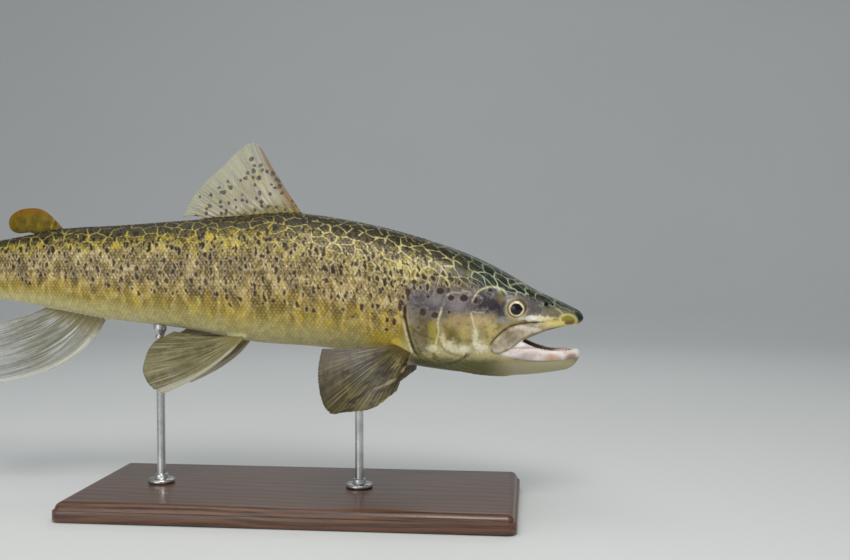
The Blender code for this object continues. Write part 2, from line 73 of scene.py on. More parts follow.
MOUTH = ((9, 172, 157, 1.2), (13, 180.5, 147.5, 9.0), (30, 184, 142, 15.0), (45, 182.5, 143, 19.0),
         (57, 178, 147, 20.5), (68, 172, 155, 15.0), (76, 167, 161, 4.0))
GILL_COVER = ((108, 209), (122, 216), (137, 217.6), (150, 213.5), (158.6, 205.5), (162.6, 191), (161.2, 177),
              (158.2, 163), (153.6, 149.5), (144.5, 140.6), (130, 139.5), (114, 144.5), (104, 156), (99.5, 174), (101, 193))
MAXILLA = ((18.5, 180.2), (37, 178.6), (54.5, 177.8), (66, 175.4), (75, 169.6), (82.8, 161.4), (85.6, 154.2), (80, 150.6),
           (72, 153.0), (64, 157.6), (57, 163.4), (46, 168.8), (34.5, 173.0), (24, 175.8))


def spline(xs, ys):
    x, y = np.array(xs, float), np.array(ys, float)
    n = len(x)
    h = np.diff(x)
    a, r = np.zeros((n, n)), np.zeros(n)
    a[0, 0] = a[-1, -1] = 1.0
    for i in range(1, n - 1):
        a[i, i - 1], a[i, i], a[i, i + 1] = h[i - 1], 2 * (h[i - 1] + h[i]), h[i]
        r[i] = 6 * ((y[i + 1] - y[i]) / h[i] - (y[i] - y[i - 1]) / h[i - 1])
    m = np.linalg.solve(a, r)

    def f(s):
        s = np.clip(np.asarray(s, float), x[0], x[-1])
        i = np.clip(np.searchsorted(x, s, side="right") - 1, 0, n - 2)
        u, v = x[i + 1] - s, s - x[i]
        return ((m[i] * u ** 3 + m[i + 1] * v ** 3) / (6 * h[i])
                + (y[i] / h[i] - m[i] * h[i] / 6) * u + (y[i + 1] / h[i] - m[i + 1] * h[i] / 6) * v)
    return f


def column(table, k):
    return spline([row[0] for row in table], [row[k] for row in table])


back_curve, belly = column(STATIONS, 1), column(STATIONS, 2)
half_curve, widest = column(STATIONS, 3), column(STATIONS, 4)
round_top, round_low = column(ROUNDNESS, 1), column(ROUNDNESS, 2)


def nose(s, start, length):
    u = np.clip((np.asarray(s, float) - start) / length, 0, 1)
    return np.sqrt(1 - (1 - u) ** 2)


def back(s):
    return back_curve(s) - 6.5 * (1 - nose(s, 0, 6))


def half(s):
    return half_curve(s) * nose(s, 0, 16)


def side(s, z):
    zc = widest(s)
    top, low = back(s) - zc, zc - belly(s)
    t = np.where(z > zc, (z - zc) / top, (zc - z) / low)
    p = np.where(z > zc, round_top(s), round_low(s))
    return half(s) * np.clip(1 - np.clip(t, 0, 1) ** p, 0, 1) ** (1 / p)


def under(s, y):
    zc, p = widest(s), round_low(s)
    return zc - (zc - belly(s)) * np.clip(1 - (np.abs(y) / half(s)) ** p, 0, 1) ** (1 / p)


def normal(s, z):
    e = 0.5
    ds = (side(s + e, z) - side(s - e, z)) / (2 * e)
    dz = (side(s, z + e) - side(s, z - e)) / (2 * e)
    n = np.array([-ds, 1.0, -dz])
    return n / np.linalg.norm(n)


def place(p):
    """Rows of (s, y, z) mm to world metres, with the gentle bend of the tail."""
    p = np.asarray(p, float)
    t = np.maximum(0.0, (p[..., 0] - TAIL_BEND_START) / (700.0 - TAIL_BEND_START))
    return np.stack([SNOUT_X - p[..., 0] * MM, (p[..., 1] + TAIL_BEND * t * t) * MM, p[..., 2] * MM], -1)


def smoothstep(a, b, x):
    t = np.clip((x - a) / (b - a), 0, 1)
    return t * t * (3 - 2 * t)


def bump(x, w):
    return np.exp(-(x / w) ** 2)


def smax(a, b, k):
    h = np.clip(k - np.abs(a - b), 0, None) / k
    return np.maximum(a, b) + h * h * k * 0.25


def smin(a, b, k):
    return -smax(-a, -b, k)


def closed_curve(points, count):
    pts = np.array(points, float)
    n = len(pts)
    out = []
    for k in range(count):
        u = k * n / count
        i, t = int(u), u - int(u)
        p0, p1, p2, p3 = (pts[(i + d) % n] for d in (-1, 0, 1, 2))
        out.append(0.5 * (2 * p1 + (p2 - p0) * t + (2 * p0 - 5 * p1 + 4 * p2 - p3) * t * t
                          + (3 * p1 - p0 - 3 * p2 + p3) * t ** 3))
    return np.array(out)


def open_curve(points, per=6):
    pts = np.array(points, float)
    ext = np.vstack([2 * pts[0] - pts[1], pts, 2 * pts[-1] - pts[-2]])
    out = []
    for i in range(1, len(ext) - 2):
        p0, p1, p2, p3 = ext[i - 1:i + 3]
        for q in range(per):
            t = q / per
            out.append(0.5 * (2 * p1 + (p2 - p0) * t + (2 * p0 - 5 * p1 + 4 * p2 - p3) * t * t
                              + (3 * p1 - p0 - 3 * p2 + p3) * t ** 3))
    out.append(pts[-1])
    return np.array(out)


def polygon_distance(S, Z, poly):
    """Signed distance in the side view to a closed outline, negative inside."""
    d2 = np.full(np.broadcast(S, Z).shape, 1e9)
    inside = np.zeros(d2.shape, bool)
    m = len(poly)
    for i in range(m):
        ax, az = poly[i]
        bx, bz = poly[(i + 1) % m]
        ex, ez = bx - ax, bz - az
        t = np.clip(((S - ax) * ex + (Z - az) * ez) / (ex * ex + ez * ez + 1e-12), 0, 1)
        d2 = np.minimum(d2, (S - ax - t * ex) ** 2 + (Z - az - t * ez) ** 2)
        if abs(ez) > 1e-12:
            cross = ((az > Z) != (bz > Z)) & (S < ax + (Z - az) * ex / ez)
            inside ^= cross
    d = np.sqrt(d2)
    return np.where(inside, -d, d)


def signed_line(S, Z, pts, closing):
    """Distance to an open line, negative on the side where `closing` rounds off an area."""
    d, along = line_distance(S, Z, pts)
    inside = polygon_distance(S, Z, np.vstack([pts, closing])) < 0
    return np.where(inside, -d, d), along


def line_distance(S, Z, pts):
    """Distance in the side view to an open line, and how far along it (0 to 1)."""
    best = np.full(np.broadcast(S, Z).shape, 1e9)
    along = np.zeros(best.shape)
    seg = np.linalg.norm(np.diff(pts, axis=0), axis=1)
    cum = np.concatenate([[0], np.cumsum(seg)])
    for i in range(len(pts) - 1):
        ax, az = pts[i]
        ex, ez = pts[i + 1] - pts[i]
        t = np.clip(((S - ax) * ex + (Z - az) * ez) / (ex * ex + ez * ez + 1e-12), 0, 1)
        d = np.hypot(S - ax - t * ex, Z - az - t * ez)
        near = d < best
        best = np.where(near, d, best)
        along = np.where(near, (cum[i] + t * seg[i]) / cum[-1], along)
    return best, along


# ------------------------------------------------------------------ section tables
TAB_S = np.linspace(0.5, TAIL_BASE, 246)
TAB_N = 241


def section_tables():
    """Half sections from the back (t=0) to the belly (t=1) evenly stepped by length."""
    phi = np.linspace(0, math.pi, 481)
    Y = np.zeros((len(TAB_S), TAB_N))
    Z = np.zeros((len(TAB_S), TAB_N))
    G = np.zeros(len(TAB_S))
    A = np.zeros((len(TAB_S), len(phi)))
    for i, s in enumerate(TAB_S):
        a, zc = float(half(s)), float(widest(s))
        c, d = np.cos(phi), np.sin(phi)
        p = np.where(c >= 0, float(round_top(s)), float(round_low(s)))
        b = np.where(c >= 0, float(back(s)) - zc, zc - float(belly(s)))
        y = a * np.abs(d) ** (2 / p)
        z = zc + b * np.sign(c) * np.abs(c) ** (2 / p)
        L = np.concatenate([[0], np.cumsum(np.hypot(np.diff(y), np.diff(z)))])
        G[i] = L[-1]
        A[i] = L
        t = np.linspace(0, L[-1], TAB_N)
        Y[i], Z[i] = np.interp(t, L, y), np.interp(t, L, z)
    return Y, Z, G, A


TAB_Y, TAB_Z, TAB_G, TAB_A = section_tables()


def girth(s):
    return np.interp(s, TAB_S, TAB_G)


def bilinear(tab, s, q, qn):
    """Table rows on TAB_S, columns evenly stepped over q in 0..1."""
    x = np.clip((np.asarray(s, float) - TAB_S[0]) / (TAB_S[-1] - TAB_S[0]) * (len(TAB_S) - 1), 0, len(TAB_S) - 1.001)
    u = np.clip(np.asarray(q, float) * (qn - 1), 0, qn - 1.001)
    i, j = x.astype(int), u.astype(int)
    fx, fu = x - i, u - j
    return ((tab[i, j] * (1 - fu) + tab[i, j + 1] * fu) * (1 - fx)
            + (tab[i + 1, j] * (1 - fu) + tab[i + 1, j + 1] * fu) * fx)


def on_section(s, g):
    """Surface point (s, y>=0, z) at arc length g down from the back, and its normal."""
    t = g / girth(s)
    y, z = bilinear(TAB_Y, s, t, TAB_N), bilinear(TAB_Z, s, t, TAB_N)
    e = 1.5
    sg = girth(s + e) * t, girth(s - e) * t
    y1, z1 = bilinear(TAB_Y, s + e, t, TAB_N), bilinear(TAB_Z, s + e, t, TAB_N)
    y0, z0 = bilinear(TAB_Y, s - e, t, TAB_N), bilinear(TAB_Z, s - e, t, TAB_N)
    ta = np.stack([np.full_like(y, 2 * e), y1 - y0, z1 - z0], -1)
    dt = 0.006
    ya, za = bilinear(TAB_Y, s, t + dt, TAB_N), bilinear(TAB_Z, s, t + dt, TAB_N)
    yb, zb = bilinear(TAB_Y, s, t - dt, TAB_N), bilinear(TAB_Z, s, t - dt, TAB_N)
    tb = np.stack([np.zeros_like(y), ya - yb, za - zb], -1)
    # at the back and belly lines the section runs straight across
    tb[..., 1] = np.where(t < 0.004, np.abs(tb[..., 1]) + 1e-6, np.where(t > 0.996, -np.abs(tb[..., 1]) - 1e-6, tb[..., 1]))
    n = np.cross(ta, tb)
    n /= np.linalg.norm(n, axis=-1)[..., None] + 1e-12
    return np.stack([s, y, z], -1), n


def arc_from_back(s, y, z):
    """Arc length from the back midline of the section point in the same direction."""
    a, zc = np.maximum(half(s), 0.8), widest(s)
    up = z >= zc
    b = np.where(up, back(s) - zc, zc - belly(s))
    p = np.where(up, round_top(s), round_low(s))
    cc = np.clip(np.abs(z - zc) / b, 1e-6, None) ** (p / 2)
    dd = np.clip(np.abs(y) / a, 1e-6, None) ** (p / 2)
    phi = np.arctan2(dd, np.where(up, cc, -cc))
    return bilinear(TAB_A, s, phi / math.pi, TAB_A.shape[1])


LATERAL = spline((0, 60, 100, 137, 165, 200, 270, 365, 456, 560, 610),
                 (196, 207, 212, 215, 217.5, 221, 224.5, 224.5, 224.5, 224.2, 223.8))


def lateral_arc(s):
    return arc_from_back(s, side(s, LATERAL(s)), LATERAL(s))


# ------------------------------------------------------------------ the skin
SCALE_DEPTH = 0.45          # how far the skin lies under the scaled surface


def scale_front(z):
    """Where the scales begin: behind the gill cover, and further forward on the nape."""
    return np.interp(z, (128, 140, 150, 165, 178, 192, 204, 213, 220, 230, 245, 262, 290),
                     (190, 184, 177, 168, 167, 168, 166, 160, 151, 144, 140, 139, 139))


def superellipse(s, Y, Z, a, top, low, zc, pt, pl):
    dz = Z - zc
    up = dz > 0
    b = np.where(up, top - zc, zc - low)
    p = np.where(up, pt, pl)
    r = (np.abs(Y / a) ** p + np.abs(dz / b) ** p) ** (1 / p) - 1
    return r


def to_distance(r, s, y, z):
    """Field r turned into a distance, with the sideways and upward parts of its normal."""
    g = np.gradient(r, s, y, z, edge_order=1)
    m = np.maximum(np.sqrt(g[0] ** 2 + g[1] ** 2 + g[2] ** 2), 1e-3)
    return np.clip(r / m, -14, 14), g[1] / m, g[2] / m


def capsule(S, Y, Z, a, b, r0, r1):
    a, b = np.array(a, float), np.array(b, float)
    e = b - a
    t = np.clip(((S - a[0]) * e[0] + (Y - a[1]) * e[1] + (Z - a[2]) * e[2]) / (e @ e), 0, 1)
    d = np.sqrt((S - a[0] - t * e[0]) ** 2 + (Y - a[1] - t * e[1]) ** 2 + (Z - a[2] - t * e[2]) ** 2)
    return d - (r0 + (r1 - r0) * t)


def mouth_hollow(S, Y, Z):
    ms = [m[0] for m in MOUTH]
    roof, floor, w = (np.interp(S, ms, [m[k] for m in MOUTH]) for k in (1, 2, 3))
    mid, hh = 0.5 * (roof + floor), 0.5 * (roof - floor)
    r = (np.abs(Y / w) ** 2.3 + np.abs((Z - mid) / hh) ** 2.3) ** (1 / 2.3) - 1
    d = r * np.minimum(w, hh) * 0.9
    return np.maximum(d, np.maximum(9 - S, S - 76))


def surface_point(s, z):
    return np.array([s, float(side(s, z)), z])


def side_relief(S, Z):
    """Relief of the bones and folds on the side of the head, in mm outwards."""
    D = np.zeros(np.broadcast(S, Z).shape)
    # gill cover: a plate that stands proud at its rear edge, over a narrow cleft
    gill = closed_curve(GILL_COVER, 120)
    dg = polygon_distance(S, Z, gill)
    rear = smoothstep(118, 136, S + 0.35 * (178 - Z)) * smoothstep(-6, 2, S - 112)
    low_edge = smoothstep(158, 146, Z) * smoothstep(100, 112, S)
    edge = np.clip(np.maximum(rear, low_edge), 0, 1)
    deep = 0.50 + 0.50 * smoothstep(197, 187, Z) * smoothstep(147, 155, Z)
    D += 1.4 * edge * (0.45 + 0.55 * deep) * smoothstep(0.2, -1.4, dg) * smoothstep(-26, -5, dg)
    D -= 2.0 * edge * deep * bump(dg - 1.0, 0.85)
    D -= 0.55 * edge * smoothstep(9.0, 1.0, dg) * (dg > 0)
    # soft skin rim along the gill cover's edge, set off by a faint line
    D -= 0.35 * edge * bump(dg + 3.6, 0.9)
    # preopercle: crescent ridge, stepping down behind
    pre = open_curve(((118, 208), (126.5, 203), (130.4, 193), (132.6, 180), (133.4, 168), (130.5, 158),
                      (122.5, 151), (110, 147.5), (97, 147.5)))
    ridge, ap = signed_line(S, Z, pre, [(80, 152), (80, 208)])
    fade = smoothstep(0.0, 0.14, ap) * smoothstep(1.0, 0.82, ap)
    D += 0.85 * fade * smoothstep(0.3, -1.5, ridge) * smoothstep(-11, -3, ridge)
    D -= 0.95 * fade * bump(ridge - 0.9, 0.9)
    inner = open_curve(((112, 202), (117, 193), (119.5, 180), (119, 169), (113, 160), (102, 156)))
    di, ai = line_distance(S, Z, inner)
    D -= 0.4 * bump(di, 1.5) * smoothstep(0, 0.2, ai) * smoothstep(1, 0.8, ai)
    # seams between the gill cover's own bones
    for pts, depth in ((((133.5, 163), (142, 164.6), (151, 169), (160.5, 176)), 0.55),
                       (((121, 150), (131, 152.5), (140, 149.5), (148, 144)), 0.55)):
        dl, al = line_distance(S, Z, open_curve(pts))
        D -= depth * bump(dl, 0.85) * smoothstep(0, 0.1, al) * smoothstep(1, 0.9, al)
    # faint growth ridges fanning over the gill cover
    fan = np.arctan2(Z - 205, S - 120)
    D += 0.07 * np.cos(fan * 46) * smoothstep(-1.5, -5, dg) * smoothstep(128, 136, S)

    # upper jaw bone: a long plate with a dark groove above it
    jaw = closed_curve(MAXILLA, 120)
    dm = polygon_distance(S, Z, jaw)
    back_of = smoothstep(20, 40, S)
    D += 1.7 * back_of * smoothstep(0.25, -1.5, dm)
    D -= 0.9 * back_of * bump(dm + 5.6, 2.6) * smoothstep(46, 62, S)
    top_line = open_curve(((28, 181.2), (37, 179.6), (54.5, 178.8), (66.6, 176.2), (75.9, 170.2), (84.2, 161.6), (87.2, 153.6)))
    dt, at = line_distance(S, Z, top_line)
    D -= 1.5 * bump(dt, 0.95) * smoothstep(0, 0.25, at) * smoothstep(1.0, 0.9, at)
    # smaller bone riding on its upper rear edge
    supra = open_curve(((58, 176.5), (66, 173.6), (73.5, 168.4), (79.5, 161.5)))
    ds, as_ = line_distance(S, Z, supra)
    D -= 0.5 * bump(ds, 0.7) * smoothstep(0, 0.2, as_) * smoothstep(1, 0.85, as_)

    # ring of skin round the eye, the bones under and behind it
    rho = np.hypot(S - EYE_S, Z - EYE_Z)
    D += 1.95 * smoothstep(15.5, 8.2, rho)
    D -= 0.25 * bump(rho - 16.4, 1.4)
    ang = np.arctan2(Z - EYE_Z, S - EYE_S)
    low = smoothstep(0.35, -0.2, ang) + smoothstep(2.9, 3.1, np.abs(ang))
    D += 0.30 * np.clip(low, 0, 1) * bump(rho - 18.8, 2.0)
    D -= 0.32 * np.clip(low, 0, 1) * bump(rho - 22.6, 1.1)
    D += 0.9 * np.exp(-((S - 60) / 20) ** 2 - ((Z - 206.5) / 3.6) ** 2)
    D -= 0.8 * np.exp(-((S - 44) / 7) ** 2 - ((Z - 190) / 6) ** 2)
    D -= 0.7 * np.exp(-((S - 86) / 9) ** 2 - ((Z - 206) / 6) ** 2)
    # cheek muscle
    D += 1.3 * np.exp(-((S - 101) / 13) ** 2 - ((Z - 177) / 13) ** 2)
    D += 0.8 * np.exp(-((S - 22) / 12) ** 2 - ((Z - 189) / 5) ** 2)
    # nostrils: low rims round the two openings
    for ns, nz, rr in ((34.6, 195.6, 2.7), (28.6, 195.4, 2.3)):
        q = np.hypot((S - ns), (Z - nz))
        D += 0.55 * bump(q - rr, 0.8)
    # sensory pores along the side of the head
    for ps, pz in ((72, 173.6), (80, 178.0), (86.5, 184.5), (90, 192), (54, 171.4 + 9), (124, 190), (126.6, 180),
                   (127, 170), (123.6, 160), (115, 153.4), (45, 202), (56, 206.6), (70, 209), (84, 211)):
        D -= 0.45 * bump(np.hypot(S - ps, Z - pz), 0.85)
    return D


def build_field(s, y, z):
    S, Y, Z = s[:, None, None], y[None, :, None], z[None, None, :]
    sc = np.clip(S, 0.05, TAIL_BASE)
    a, top, low, zc = np.maximum(half(sc), 0.15), back(sc), belly(sc), widest(sc)
    pt, pl = round_top(sc), round_low(sc)
    body, ny, nz = to_distance(superellipse(sc, Y, Z, a, top, low, zc, pt, pl), s, y, z)
    body = np.maximum(body, -S)
    body = smax(body, S - (TAIL_BASE - 0.3), 3.0)
    body = body + SCALE_DEPTH * smoothstep(-1.0, 6.0, S - scale_front(Z))

    flat_z = np.clip(side_relief(s[:, None], z[None, :]), -3, 3)[:, None, :]
    facing = smoothstep(1.0, 6.0, Y) * smoothstep(0.16, 0.55, ny)
    D = flat_z * facing * (1 - smoothstep(172, 186, S))

    # throat, seen from below: the gill membranes part in a V, each carried by fine rays
    vee = open_curve(((66, 0), (84, 2.6), (104, 7.5), (126, 14.5), (146, 23), (157, 29)))
    dv = signed_line(s[:, None], y[None, :], vee, [(157, 70), (66, 70)])[0]
    fade = smoothstep(64, 76, s) * smoothstep(158, 148, s)
    T = (1.1 * smoothstep(0.4, -1.6, dv) * smoothstep(-13, -4, dv) - 2.0 * bump(dv - 1.2, 1.2)
         + 0.42 * np.cos(dv * 2 * math.pi / 3.3) * smoothstep(-1.2, -2.6, dv) * smoothstep(-17, -12, dv))
    D = D + (T * fade[:, None])[:, :, None] * smoothstep(0.45, 0.85, -nz)
    body = body - D

    # upper jaw edge and lower jaw
    cut_up = list(UPPER_LIP) + [(60, 156), (63, 145), (64, 110), (-12, 110)]
    du = polygon_distance(s[:, None], z[None, :], np.array(cut_up))[:, None, :]
    head = smax(body, -du, 3.2)
    k = 0.86 + 0.14 * np.clip((sc - 20) / 32.0, 0, 1)
    aj = np.maximum(half_curve(sc) * k * nose(sc, JAW_TIP - 0.1, 14), 0.15)
    lowj = belly(sc) + 9.0 * (1 - nose(sc, JAW_TIP - 0.1, 8))
    jaw = to_distance(superellipse(sc, Y, Z, aj, top, lowj, zc, pt, pl), s, y, z)[0]
    jaw = smax(jaw, JAW_TIP + 0.6 + 0.050 * (Z - 148.5) ** 2 + 0.016 * Y ** 2 - S, 3.0)
    keep = list(reversed(LOWER_LIP)) + [(70, 158), (92, 150), (104, 140), (106, 110), (-12, 110)]
    dl = polygon_distance(s[:, None], z[None, :], np.array(keep))[:, None, :]
    lip = open_curve(((6, 147.5), (14, 145.4), (28, 143.6), (40, 143.2), (52, 144.2), (64, 146), (74, 148.6), (84, 152)))
    dlip, alip = line_distance(s[:, None], z[None, :], lip)
    fold = -1.0 * bump(dlip, 1.1) * smoothstep(0, 0.12, alip) * smoothstep(1, 0.85, alip)
    above = signed_line(s[:, None], z[None, :], lip, [(84, 170), (0, 170)])[0]
    fold += 0.7 * smoothstep(0.2, -2.0, above) * smoothstep(-12, -6, above) * smoothstep(76, 60, s[:, None])
    # knob of the chin
    fold += 0.8 * np.exp(-((s[:, None] - 9) / 6) ** 2 - ((z[None, :] - 148) / 4) ** 2)
    fold = fold[:, None, :] * smoothstep(0.5, 4, Y)
    jaw = smax(jaw - fold - D * smoothstep(58, 72, S), dl, 3.2)
    tip_fold = capsule(S, Y, Z, (8.0, 0, 149.3), (12.0, 6.0, 149.8), 3.9, 2.9)
    jaw = smin(jaw, tip_fold, 2.5)
    F = smin(head, jaw, 1.2)
    F = F + fold * smoothstep(58, 66, S) * smoothstep(90, 80, S) * -0.6 * (Z < 156)

    F = smax(F, -mouth_hollow(S, Y, Z), 1.6)

    # eye aperture
    rho = np.hypot(s[:, None] - EYE_S, z[None, :] - EYE_Z)[:, None, :]
    F = smax(F, -np.maximum(rho - 7.6, 20.5 - Y), 0.9)
    # nostrils
    for ns, nz, rr in ((34.6, 195.6, 1.95), (28.6, 195.4, 1.5)):
        py = float(side(ns, nz))
        hole = capsule(S, Y, Z, (ns, py + 2.0, nz + 1.0), (ns + 1.2, py - 2.6, nz - 1.2), rr, rr * 0.8)
        F = smax(F, -hole, 0.6)

    # roots of the fins
    for s0, s1, edge, sgn, rise in ((266, 364, back, 1, 0.7), (507, 532, back, 1, 0.5), (463, 526, belly, -1, 1.0)):
        slab = np.maximum(Y - 1.2, sgn * (Z - edge(sc)) - rise)
        slab = np.maximum(slab, np.maximum(s0 - S, S - s1) * 0.5)
        slab = np.maximum(slab, -sgn * (Z - edge(sc)) - 8)
        F = smin(F, slab, 4.0)
    a1, a2 = surface_point(160.2, 152.0), surface_point(173.5, 159.4)
    F = smin(F, capsule(S, Y, Z, a1 + (0, 0.0, 0), a2 + (0, 0.2, 0), 3.3, 2.6), 5.0)
    b1 = np.array([319.5, 16.2, float(under(319.5, 16.2))])
    b2 = np.array([333.0, 12.2, float(under(333.0, 12.2))])
    F = smin(F, capsule(S, Y, Z, b1, b2, 2.6, 2.2), 5.0)
    # vent
    F = smax(F, -capsule(S, Y, Z, (456.5, 0, float(belly(456.5)) - 1.0), (457.5, 0, float(belly(457.5)) + 2.5), 1.5, 0.9), 1.5)
    F = smin(F, capsule(S, Y, Z, (460.5, 0, float(belly(460)) + 0.8), (462.5, 0, float(belly(462)) - 0.9), 1.7, 1.2), 2.5)
    return F


def surface_net(F, xs, ys, zs):
    """Closed quad surface of F = 0: one vertex in each cell the surface crosses."""
    inside = F < 0
    shape = tuple(n - 1 for n in F.shape)
    total = shape[0] * shape[1] * shape[2]
    acc = np.zeros((4, total))
    quads = []
    grids = (xs, ys, zs)
    for ax in range(3):
        a = np.take(inside, range(0, F.shape[ax] - 1), ax)
        b = np.take(inside, range(1, F.shape[ax]), ax)
        hit = np.argwhere(a != b)
        o1, o2 = [d for d in range(3) if d != ax]
        ok = ((hit[:, o1] > 0) & (hit[:, o1] < F.shape[o1] - 1) & (hit[:, o2] > 0) & (hit[:, o2] < F.shape[o2] - 1))
        hit = hit[ok]
        nxt = hit.copy()
        nxt[:, ax] += 1
        f0, f1 = F[tuple(hit.T)], F[tuple(nxt.T)]
        t = f0 / (f0 - f1)
        pos = np.stack([grids[d][hit[:, d]] for d in range(3)], 1).astype(float)
        pos[:, ax] += t * (grids[ax][nxt[:, ax]] - grids[ax][hit[:, ax]])
        cells = []
        for d1, d2 in ((-1, -1), (0, -1), (0, 0), (-1, 0)):
            c = hit.copy()
            c[:, o1] += d1
            c[:, o2] += d2
            cid = np.ravel_multi_index(tuple(c.T), shape)
            cells.append(cid)
            for k in range(3):
                acc[k] += np.bincount(cid, weights=pos[:, k], minlength=total)
            acc[3] += np.bincount(cid, minlength=total)
        q = np.stack(cells, 1)
        flip = ~a[tuple(hit.T)]
        if ax == 1:
            flip = ~flip
        q[flip] = q[flip][:, ::-1]
        quads.append(q)
    quads = np.concatenate(quads)
    used = np.flatnonzero(acc[3] > 0)
    new = np.full(total, -1)
    new[used] = np.arange(len(used))
    verts = (acc[:3, used] / acc[3, used]).T
    return verts, new[quads]


def mesh_object(name, co, faces, smooth=True):
    """Mesh object from world coordinates and faces given as arrays of equal-sided faces."""
    me = bpy.data.meshes.new(name)
    groups = faces if isinstance(faces, list) else [faces]
    groups = [np.asarray(g, np.int32) for g in groups if len(g)]
    me.vertices.add(len(co))
    me.vertices.foreach_set("co", np.asarray(co, np.float32).ravel())
    loops = np.concatenate([g.ravel() for g in groups])
    totals = np.concatenate([np.full(len(g), g.shape[1], np.int32) for g in groups])
    starts = np.concatenate([[0], np.cumsum(totals)[:-1]]).astype(np.int32)
    me.loops.add(len(loops))
    me.loops.foreach_set("vertex_index", loops)
    me.polygons.add(len(totals))
    me.polygons.foreach_set("loop_start", starts)
    me.update(calc_edges=True)
    if smooth:
        me.polygons.foreach_set("use_smooth", np.ones(len(totals), bool))
    ob = bpy.data.objects.new(name, me)
    bpy.context.scene.collection.objects.link(ob)
    return ob


def vector_attribute(ob, name, values):
    at = ob.data.attributes.new(name, "FLOAT_VECTOR", "POINT")
    at.data.foreach_set("vector", np.asarray(values, np.float32).ravel())


def skin_attributes(ob, rest, extra=None):
    """rest = (s, y, z); flat = (s, signed arc from the back line, height share); zone = (arc above the
    lateral line, inside the mouth, spare); all lengths in centimetres."""
    s, y, z = rest[:, 0], rest[:, 1], rest[:, 2]
    sc = np.clip(s, 0.6, TAIL_BASE)
    arc = arc_from_back(sc, y, z)
    lat = np.interp(sc, TAB_S, lateral_arc(TAB_S))
    h = (z - belly(sc)) / (back(sc) - belly(sc))
    mouth = smoothstep(1.1, 0.1, mouth_hollow(s, y, z)) * (s > 9) * (s < 76)
    vector_attribute(ob, "rest", rest / 10)
    vector_attribute(ob, "flat", np.stack([s / 10, np.sign(y + 1e-9) * -arc / 10, h], 1))
    vector_attribute(ob, "zone", np.stack([(lat - arc) / 10, mouth, np.zeros(len(s)) if extra is None else extra], 1))


def skin_parts(p):
    """Shares of the upper jaw bone and of the lower lip, and the relief of the folds that paints shade into the folds
    and highlight on raised rims; plus pale lines of painted highlight along the rims.
    """
    s, y, z = p[:, 0], np.abs(p[:, 1]), p[:, 2]
    side_w = smoothstep(1.5, 6.0, y) * (s < 168)
    dm = polygon_distance(s, z, closed_curve(MAXILLA, 120))
    bone = smoothstep(0.5, -0.5, dm) * smoothstep(0.8, 3.0, y)
    lip = open_curve(((2, 146.2), (6, 145.8), (14, 144.6), (28, 143.3), (40, 143.2), (52, 144.2), (64, 146), (74, 148.6), (84, 152)))
    band = signed_line(s, z, lip, [(84, 170), (0, 170)])[0]
    low = smoothstep(0.8, -0.8, band) * (z < 163) * smoothstep(80, 72, s) * (1 - bone)
    # the relief drives painted shade in the folds and painted highlight on the raised rims, weaker along the gill
    # cover's edge
    shade_relief = np.clip(side_relief(s, z) * 0.62, -2, 2) * side_w
    gill = polygon_distance(s, z, closed_curve(GILL_COVER, 120))
    shown = smoothstep(197, 187, z) * smoothstep(147, 155, z)
    fade = np.where((s > 112) & (np.abs(gill) < 4.5), 0.50 + 0.50 * shown, 1.0)
    fade = np.where((s > 84) & (z < 155), 0.45, fade)
    shade_relief = np.where(shade_relief < 0, shade_relief * fade, shade_relief)
    # painted highlights: pale lines along the rim behind the gill opening and along the bone ridges of the cheek and
    # eye
    painted_highlight = 0.9 * bump(gill - 2.9, 1.1) * smoothstep(184, 178, z) * smoothstep(143, 150, z) * (s > 140)
    for pts, width, power in (
            (((128.7, 196), (130.6, 189), (133.2, 180), (132.9, 171), (134.3, 163.3), (136.2, 157), (135, 152)), 1.0, 0.9),
            (((103.5, 191), (102.0, 183), (99.8, 175.2), (98.3, 168)), 0.9, 0.7),
            (((102.9, 195.8), (101.0, 201.0), (97.1, 207.4), (89.4, 211.3), (80.5, 211.4), (72.8, 207.6), (69.6, 201.2)), 0.9, 0.85),
            (((127, 203), (121, 207), (114, 206.5), (107, 208), (101, 206)), 0.7, 0.4),
            (((104, 190.5), (97, 188.6), (90, 189.2)), 0.7, 0.5),
            (((70, 212), (62, 214.5), (52, 213), (44, 208), (38, 203)), 0.7, 0.5),
            (((28, 192), (23, 190), (20, 186.5), (19, 184)), 0.7, 0.5)):
        dl, al = line_distance(s, z, open_curve(pts))
        painted_highlight = np.maximum(painted_highlight, power * bump(dl, width) * smoothstep(0, 0.15, al) * smoothstep(1, 0.85, al))
    painted_highlight = painted_highlight * side_w
    # painted shade: a dark line along the fold under the lower lip
    fold = -0.55 * bump(line_distance(s, z, lip)[0], 1.0) * smoothstep(84, 70, s) * (y > 0.5)
    shade_relief = np.where(low > 0.02, fold, shade_relief)
    return np.stack([bone, low, np.clip(shade_relief, -1, 1)], 1), np.stack([painted_highlight, side_w, side_w], 1)


